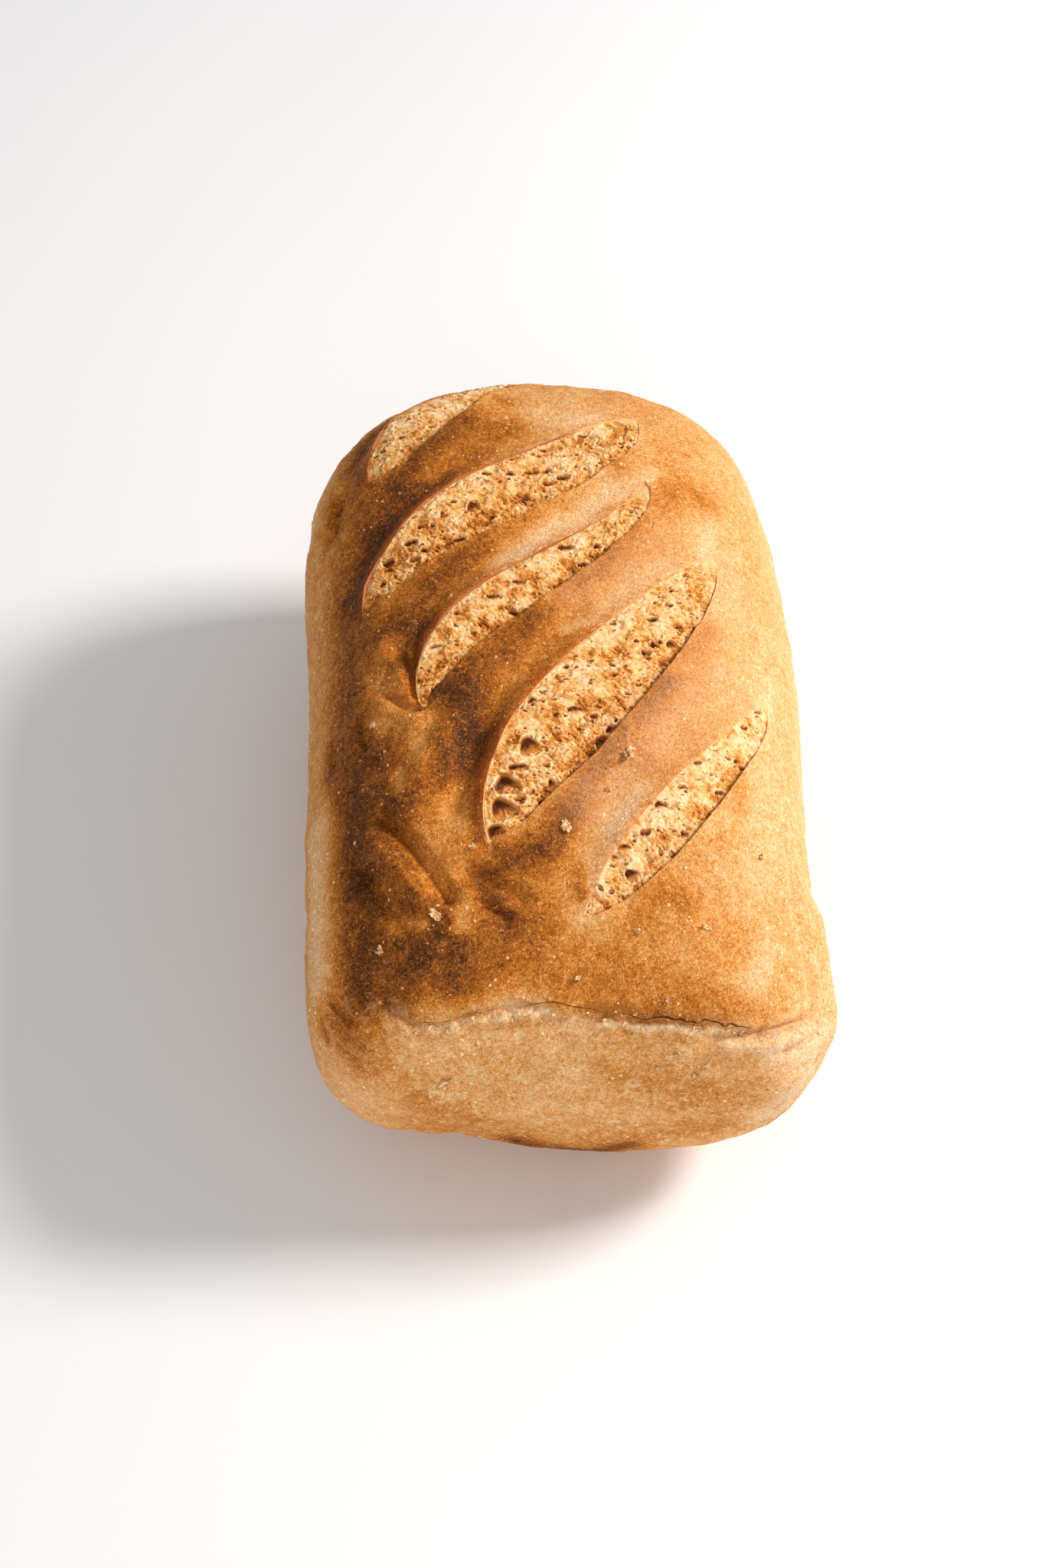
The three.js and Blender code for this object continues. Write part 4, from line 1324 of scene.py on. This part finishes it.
# %% Lay the crumb
CRUMB_STEP = 0.27
BIG_PORES = [  # for each slash: x and y on the loaf, half width, half length and depth, mm
    [(-43.6, 66.8, 1.0, 0.7, 0.9), (-38.6, 70.9, 1.6, 0.8, 0.7)],
    [(-33.8, 33.8, 0.8, 0.9, 1.4), (-35.9, 28.7, 2.2, 1.2, 1.3), (-42, 24.1, 1.7, 1.5, 1.6),
     (4, 50.6, 2.0, 1.2, 1.2), (-43.5, 17.7, 1.0, 0.9, 1.2), (-32.6, 25.7, 1.5, 0.9, 1.1),
     (7.9, 47, 0.9, 1.4, 1.1), (-3.8, 52.3, 2.4, 1.2, 0.8), (-15.9, 51.9, 1.6, 1.0, 0.7),
     (-23.2, 28.5, 2.0, 0.8, 0.9), (-19.8, 39.2, 1.8, 2.2, 0.8)],
    [(8.7, 30.2, 1.2, 0.6, 1.0), (12, 24.5, 1.1, 0.9, 1.3), (8.2, 18.2, 1.5, 1.0, 1.3),
     (3.8, 23.6, 2.4, 1.4, 0.9), (-8.7, 11.3, 2.0, 0.9, 0.8), (-15.1, 6.2, 2.2, 0.9, 1.0)],
    [(-13.2, -52.6, 3.5, 2.9, 2.4), (-14.2, -58.9, 3.5, 3.0, 2.0), (-16.2, -65.2, 2.5, 2.9, 1.5),
     (-10.1, -48.1, 2.8, 1.1, 1.2), (-7.4, -42.3, 2.8, 3.0, 0.9), (12.7, -36.1, 1.4, 1.3, 1.7),
     (8.8, -32.8, 1.2, 1.3, 1.1), (4.6, -31.1, 3.0, 1.2, 0.7), (10.4, -40, 2.0, 1.8, 1.2),
     (-4.2, -57, 1.5, 1.5, 1.1), (-2.3, -51.9, 0.9, 1.6, 1.2), (-6.3, -28.8, 1.4, 1.0, 0.9),
     (30.6, 10, 0.9, 0.6, 0.9), (27.8, 7.1, 1.3, 0.5, 0.8), (31.4, -2.4, 0.9, 1.0, 1.1),
     (29.5, -7.9, 1.6, 1.1, 1.1), (36, -1.6, 0.9, 1.2, 1.0), (22.7, -11.9, 1.4, 1.3, 1.2)],
    [(46.6, -30.3, 1.1, 1.0, 1.3), (33.6, -45.5, 1.2, 0.9, 0.9), (23.7, -58.5, 1.8, 1.0, 0.9),
     (14.2, -69.5, 2.4, 0.9, 0.9), (11.9, -71.9, 1.2, 0.8, 0.8), (16.2, -75.8, 2.0, 1.5, 1.0),
     (29.3, -65.1, 1.0, 1.0, 1.2), (43.8, -41.9, 0.9, 1.0, 1.0), (39.1, -52.5, 1.6, 0.9, 1.0)],
]
GOLDEN = [0.46, 0.52, 0.53, 0.47, 0.36]  # how brown each crumb is
CALM = [0.8, 0.0, 0.1, 0.0, 0.15]  # how smooth each crumb is
SKIN_TAIL = [0.05, 0.03, 0.06, 0.04, 0.05]  # share of each slash, at its far tip, that is smooth skin
CRUMB_UNDER_EAR, CRUMB_UNDER_LIP, CRUMB_AT_FAR_TIP = -0.5, -1.4, -0.4  # its level from the skin, mm
RISE_FROM, RISE_OVER = 0.66, 0.24  # where along a slash it rises to the far tip
CRUMB_BULGE, CRUMB_EDGE_FALL = 0.7, 1.6  # mm in the middle, and mm for each mm outside the slash
PAD_BELOW_CUT, PAD_UNDER_LIP, PAD_BEND = 0.4, 1.4, -3.0  # the pad's hidden sides, mm


def pad_top(inside, across, share, strength):
    """Just under the lifted ear on the upper left, falling to well under the lip on the lower right, and
    rising to the skin again at the far tip, where the slash runs out."""
    left_level = CRUMB_UNDER_EAR + ear_height(share.clip(0, 1), strength)
    rise = (CRUMB_AT_FAR_TIP - CRUMB_UNDER_LIP) * ease((share - RISE_FROM) / RISE_OVER)
    right_level = CRUMB_UNDER_LIP + rise
    slope = ease(1 - across) ** 0.8
    bulge = CRUMB_BULGE * np.sin(np.pi * across.clip(0, 1))
    level = left_level + (right_level - left_level) * slope + bulge
    return level + CRUMB_EDGE_FALL * np.minimum(inside, 0)


def big_pores(places, pits):
    """How deep each corner lies in a big pore, the painted shade it gets there, and the pore's pale rim."""
    pit, dark, rim = (np.zeros(len(places)) for _ in range(3))
    for x, y, half_width, half_length, depth in pits:
        aside, ahead = places[:, 0] - x, places[:, 1] - y
        ripple = 1 + 0.12 * np.sin(3 * np.arctan2(ahead, aside) + x)
        apart = np.hypot(aside / half_width, ahead / half_length) * ripple
        sunk = ease((1.0 - apart) / 0.22)
        uphill = ease(0.5 + 0.55 * ahead / half_length - 0.35 * aside / half_width)
        pit = np.maximum(pit, depth * sunk * (0.45 + 0.55 * uphill)) - 0.3 * bell(apart - 1.1, 0.1)
        # Painted shade, most on the pore's upper side.
        dark = np.maximum(dark, sunk * (0.12 + 0.88 * uphill))
        rim = np.maximum(rim, bell(apart - 1.08, 0.09) * ease((half_width - 0.8) / 1.2))
    return {"pit": pit, "pit shade": dark, "pit rim": rim}


crumbs = []
for index, slash in enumerate(SLASHES):
    crumb, notes = leaf_solid(
        f"crumb_{index + 1}", slash, CRUMB_STEP, partial(pad_top, strength=slash["ear"]),
        -CUT_DEPTH - PAD_BELOW_CUT, over=TUCK, under_lip=PAD_UNDER_LIP, bend=PAD_BEND,
    )
    places, calm = corners_of(crumb)[0], CALM[index]
    notes |= big_pores(places, BIG_PORES[index])
    notes["calm"] = np.full(len(places), calm)
    # Browner towards the right edge, as painted shade under the lip; browner towards the near tip too.
    notes["golden"] = GOLDEN[index] + 0.36 * (0.5 - notes["across"]) + 0.16 * (0.5 - notes["share"])
    notes["torn"] = ease((1 - notes["share"]) / SKIN_TAIL[index] - 0.4)
    write_on(crumb, **notes)
    grow(crumb, pores, **{
        "Pore size": 1.0, "Pore depth": 1.8 - 1.2 * calm, "Fibre height": 0.55 - 0.4 * calm,
        "Lump height": 2.2 - calm, "Seed": float(index + 1), "Material": crumb_inside,
    })
    crumbs.append(crumb)
    print(crumb.name, triangles(crumb), "triangles")

# %% [markdown]
# ## Flour flecks
# Thousands of tiny pale flecks of dried dough and flour lie on the crust, more on the left and the near
# end than on the right flank. They are real chips a fraction of a millimetre high. A Geometry Nodes tree
# scatters one chip with few faces, turned and sized at random, as thickly as a note on the crust says.

# %% Flour tree
FULL_TURN = 6.28  # radians
FLOUR_COLOURS = {
    0.1: (255, 228, 184), 0.4: (244, 196, 134), 0.65: (206, 138, 72), 0.85: (142, 86, 38), 1.0: (92, 52, 24),
}
flour_chip, tree, shader, place = new_material("flour_chip")
browned = stretch(tree, mottle(tree, place, 1.5, 2), 0.35, 0.65, -0.22, 0.22)
colour = ramp(tree, plus(tree, note(tree, "toast"), browned), FLOUR_COLOURS)
colour = paint(tree, stretch(tree, note(tree, "luck"), 0.9, 0.97, 0, 0.7), colour, shade(250, 214, 164))
roughness = stretch(tree, mottle(tree, place, 2, 2), 0.3, 0.7, 0.7, 0.95)
give_finish(tree, shader, colour, roughness, shine=0.15)

flour, given = new_tree("flour flecks", {
    "Flecks per m2": "Float", "Smallest": "Float", "Largest": "Float", "Seed": "Int", "Material": "Material",
})


def chance(tree, kind, low, high, seed):
    """A random value for each point: a number, or a direction."""
    feeds = {"Min": low, "Max": high, "Seed": seed}
    node = put(tree, "FunctionNodeRandomValue", feeds, data_type=kind)
    return next(socket for socket in node.outputs if socket.enabled)


chip = put(flour, "GeometryNodeMeshCone", {
    "Vertices": 4, "Radius Top": 0.55, "Radius Bottom": 1.0, "Depth": 0.55,
}).outputs["Mesh"]
knobs = given.outputs
amount = times(flour, named(flour, "flour"), knobs["Flecks per m2"])
spots = put(flour, "GeometryNodeDistributePointsOnFaces", {
    "Mesh": knobs["Geometry"], "Density": amount, "Seed": knobs["Seed"],
}, distribute_method="RANDOM")
small = reckon(flour, "POWER", chance(flour, "FLOAT", 0.0, 1.0, 3), 6.0)
size = stretch(flour, small, 0, 1, knobs["Smallest"], knobs["Largest"], "LINEAR")
size = times(flour, size, MM / 2)
shape = chance(flour, "FLOAT_VECTOR", (0.6, 0.6, 0.35), (1.5, 1.1, 0.7), 5)
shape = scaled(flour, shape, size)
spin = put(flour, "ShaderNodeCombineXYZ", {2: chance(flour, "FLOAT", 0.0, FULL_TURN, 7)}).outputs[0]
turned = put(flour, "FunctionNodeRotateRotation", {
    0: spots.outputs["Rotation"], 1: put(flour, "FunctionNodeEulerToRotation", {0: spin}).outputs[0],
}, rotation_space="LOCAL").outputs[0]
points = stored(flour, spots.outputs["Points"], "luck", chance(flour, "FLOAT", 0.0, 1.0, 11))
chips = put(flour, "GeometryNodeInstanceOnPoints", {
    "Points": points, "Instance": chip, "Rotation": turned, "Scale": shape,
}).outputs[0]
end_tree(flour, chips, knobs["Material"])
print("flour tree:", len(flour.nodes), "nodes")

# %% [markdown]
# ## Where the flour lies
# The tree runs on a copy of the crust that carries the note, and only the chips are kept.

# %% Scatter the flour


def flour_amount(points):
    """Most on the left; fewer low down, except on the near end; none in the slashes or underneath."""
    amount = 0.5 + 0.3 * ease((10 - points[:, 0]) / 60)
    amount *= 1 - 0.6 * ease((70 - points[:, 2]) / 20) * (points[:, 1] > -85)
    for slash in SLASHES:
        flat = points[:, :2] - slash["tips"][0]
        chord = np.subtract(slash["tips"][1], slash["tips"][0])
        length = np.linalg.norm(chord)
        share, offset = flat @ chord / length**2, flat @ np.array([-chord[1], chord[0]]) / length
        within = (offset < bow(slash["left"], share)) & (-offset < bow(slash["right"], share))
        amount[within & (share > 0) & (share < 1)] = 0
    return amount * ease((points[:, 2] - 2) / 6)


flecks = bpy.data.objects.new("flour_flecks", crust.data.copy())
bpy.context.collection.objects.link(flecks)
write_on(flecks, flour=flour_amount(corners_of(flecks)[0]))
grow(flecks, flour, **{
    "Flecks per m2": 340000.0, "Smallest": 0.24, "Largest": 1.2, "Seed": 5, "Material": flour_chip,
})
print("flour flecks:", triangles(flecks), "triangles")

# %% [markdown]
# ## Flakes
# A few larger flakes can be told apart in the photograph: curled chips of dried dough on the crust. Each
# is a small ragged disc with one side lifted, in three layers that slid apart. Smaller bits of torn skin
# hang just under the crease; a seed places those.

# %% Flakes
crust_tree = BVHTree.FromObject(crust, bpy.context.evaluated_depsgraph_get())


def on_crust(points):
    """The nearest places on the finished crust, and which way is out there."""
    landed, out = [], []
    for point in points.tolist():
        place, normal = crust_tree.find_nearest(Vector(point) * MM)[:2]
        landed.append(place / MM)
        out.append(normal)
    return np.array(landed), np.array(out)


FLAKES = [  # place, length, width, lift in mm and turn in degrees
    ((16.5, -44.1, 100.0), 4.2, 2.8, 1.4, 120), ((-45.8, -28.5, 94.5), 2.6, 1.6, 0.9, 75),
    ((0.9, -63.4, 96.6), 3.8, 2.4, 0.3, 130), ((-31.0, -83.0, 88.0), 3.6, 2.2, 1.1, 20),
    ((-29.6, -109.6, 56.5), 4.4, 1.3, 1.0, 105), ((2.7, -96.9, 80.4), 1.8, 1.3, 0.7, 40),
    ((11.5, -54, 99), 1.6, 1.0, 0.6, 10), ((-22, -68.5, 96), 1.7, 1.2, 0.5, 60),
    ((33, -86, 84), 2.8, 1.2, 0.5, 20), ((17, -88, 86), 2.0, 1.3, 0.4, 150),
    ((-32, 31, 101), 2.6, 1.4, 0.4, 30), ((-44, -88, 80), 2.8, 1.2, 0.5, 120),
    ((46, -66, 84), 2.2, 1.1, 0.4, 45), ((24, -101, 76), 1.8, 1.0, 0.5, 100),
    ((33, -109.3, 60.5), 3.0, 1.2, 0.5, 60), ((30.5, -109.6, 57.5), 2.4, 0.9, 0.4, 130),
    ((22, -109.5, 60), 2.2, 1.3, 0.4, 20), ((26, -108.5, 64), 1.8, 1.0, 0.4, 80),
]
TORN_BITS = 26  # small chips of torn skin just under the crease
TORN_FROM, TORN_TO = 0.12, 0.96  # the part of the crease that has them
TORN_SMALLEST, TORN_LARGEST, TORN_LIFT = (1.0, 0.5), (2.6, 1.2), 0.35  # length and width, mm
RINGS, SPOKES = 4, 18
SKIN_ABOVE, SKIN_BELOW = 0.35, -0.1  # the two skins of a chip, mm
FLAKE_LAYERS, FLAKE_SLIP = (1.0, 0.7, 0.5), 0.35  # its layers' sizes, and how far they slid apart


def flake_shell(place, length, width, lift, turn, chances):
    """A ragged curled chip: an upper and a lower skin that share their rim."""
    (middle,), (out,) = on_crust(np.array([place]))
    along = np.cross(out, (0.3, 1, 0.1))
    along /= np.linalg.norm(along)
    side = np.cross(out, along)
    angle = np.linspace(0, 2 * np.pi, SPOKES, endpoint=False)
    ragged = chances.uniform(0.62, 1.2, SPOKES)
    radius = np.linspace(0, 1, RINGS + 1)[1:, None] * ragged
    x = radius * np.cos(angle) * length / 2
    y = radius * np.sin(angle) * width / 2
    c, t = math.cos(math.radians(turn)), math.sin(math.radians(turn))
    x, y = x * c - y * t, x * t + y * c
    curl = lift * ((radius * np.cos(angle)).clip(0, None) ** 1.6) + 0.1
    curl += chances.uniform(-0.3, 0.3, radius.shape) * radius
    upper = middle + x[..., None] * along + y[..., None] * side + (curl + SKIN_ABOVE)[..., None] * out
    lower = middle + 0.92 * (x[..., None] * along + y[..., None] * side)
    lower += (curl + SKIN_BELOW)[..., None] * out
    corners = [middle + out * 0.5, middle - out * 0.1, *upper.reshape(-1, 3), *lower.reshape(-1, 3)]
    faces = []
    for skin, start in ((0, 2), (1, 2 + RINGS * SPOKES)):
        for j in range(SPOKES):
            k = (j + 1) % SPOKES
            ring = [[skin, start + j, start + k]]
            for i in range(RINGS - 1):
                a = start + i * SPOKES
                ring.append([a + j, a + SPOKES + j, a + SPOKES + k, a + k])
            faces += [face if skin == 0 else face[::-1] for face in ring]
    for j in range(SPOKES):
        k = (j + 1) % SPOKES
        top, bottom = 2 + (RINGS - 1) * SPOKES, 2 + (2 * RINGS - 1) * SPOKES
        faces.append([top + j, bottom + j, bottom + k, top + k])
    return corners, faces


def join_shells(name, shells):
    corners, faces = [], []
    for part_corners, part_faces in shells:
        faces += [[corner + len(corners) for corner in face] for face in part_faces]
        corners += list(part_corners)
    return new_piece(name, corners, faces)


dried_dough, tree, shader, place = new_material("dried_dough")
pale = stretch(tree, mottle(tree, place, 0.9, 3, 0.7), 0.35, 0.6)
colour = paint(tree, pale, shade(184, 112, 50), shade(255, 220, 164))
roughness = stretch(tree, mottle(tree, place, 0.6, 2), 0.3, 0.7, 0.6, 0.9)
give_finish(tree, shader, colour, roughness, (0.4, 0.2, mottle(tree, place, 0.4)))
chances = np.random.default_rng(21)
shells = []
for (x, y, z), length, width, lift, turn in FLAKES:
    for size in FLAKE_LAYERS:
        aside = chances.uniform(-FLAKE_SLIP, FLAKE_SLIP, 3) * length * (1.3 - size)
        shell = ((x + aside[0], y + aside[1], z), length * size, width * size, lift * (1.4 - 0.4 * size))
        shells.append(flake_shell(*shell, turn + chances.uniform(-50, 50), chances))
for share in np.linspace(TORN_FROM, TORN_TO, TORN_BITS):
    aside = chances.uniform((-1.5, -0.5, -3.2), (1.5, -0.5, -0.8))
    length, width = chances.uniform(TORN_SMALLEST, TORN_LARGEST)
    place = crease[int(share * (CREASE_POINTS - 1))] + aside
    shells.append(flake_shell(place, length, width, TORN_LIFT, chances.uniform(0, 180), chances))
flakes = join_shells("dough_flakes", shells)
face_outwards(flakes)
flakes.data.materials.append(dried_dough)
print("dough flakes:", len(FLAKES), "and torn bits:", TORN_BITS, "with", triangles(flakes), "triangles")

# %% [markdown]
# ## Floor and light
# The photograph was lit by a strong warm light from the right, as from a window, in bright pale
# surroundings. A sun lamp would be simpler, but a near area light with a size of its own gives the
# shadow its soft edge. A larger, weaker one fills from the near side, and a pale floor and world bounce
# the rest.

# %% Floor, lights and world
FLOOR_REACH = 3000
SKY_COLOUR, SKY_STRENGTH = (1.0, 0.98, 0.95, 1), 0.42
floor_corners = [(x * FLOOR_REACH, y * FLOOR_REACH, 0) for x, y in ((-1, -1), (1, -1), (1, 1), (-1, 1))]
floor = new_piece("floor", floor_corners, [(0, 1, 2, 3)])
floor_paper, tree, shader, place = new_material("floor_paper")
colour = paint(tree, mottle(tree, place, 300), shade(240, 244, 250), shade(246, 249, 254))
tree.links.new(colour, shader.inputs["Base Color"])
shader.inputs["Roughness"].default_value = 0.9
floor.data.materials.append(floor_paper)


def lamp(name, place, size, power, colour):
    """A square soft light at a place in mm, turned to the loaf."""
    light = bpy.data.lights.new(name, "AREA")
    light.size, light.energy, light.color = size * MM, power, colour
    stand = bpy.data.objects.new(name, light)
    stand.location = Vector(place) * MM
    stand.rotation_euler = (LOOK_AT - stand.location).to_track_quat("-Z", "Y").to_euler()
    bpy.context.collection.objects.link(stand)


lamp("window", (940, 130, 820), 300, 16, (1.0, 0.925, 0.86))
lamp("fill", (-200, -1050, 640), 900, 4.1, (1.0, 0.94, 0.85))
world = bpy.data.worlds.new("studio")
world.use_nodes = True
backdrop = next(node for node in world.node_tree.nodes if node.type == "BACKGROUND")
backdrop.inputs["Color"].default_value = SKY_COLOUR
backdrop.inputs["Strength"].default_value = SKY_STRENGTH
bpy.context.scene.world = world
bpy.context.scene.view_settings.view_transform = "Standard"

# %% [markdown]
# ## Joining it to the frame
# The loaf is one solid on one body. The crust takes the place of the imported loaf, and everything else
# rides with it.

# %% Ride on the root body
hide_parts("loaf")
for piece in [crust, *crumbs, flecks, flakes]:
    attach(piece, "root")
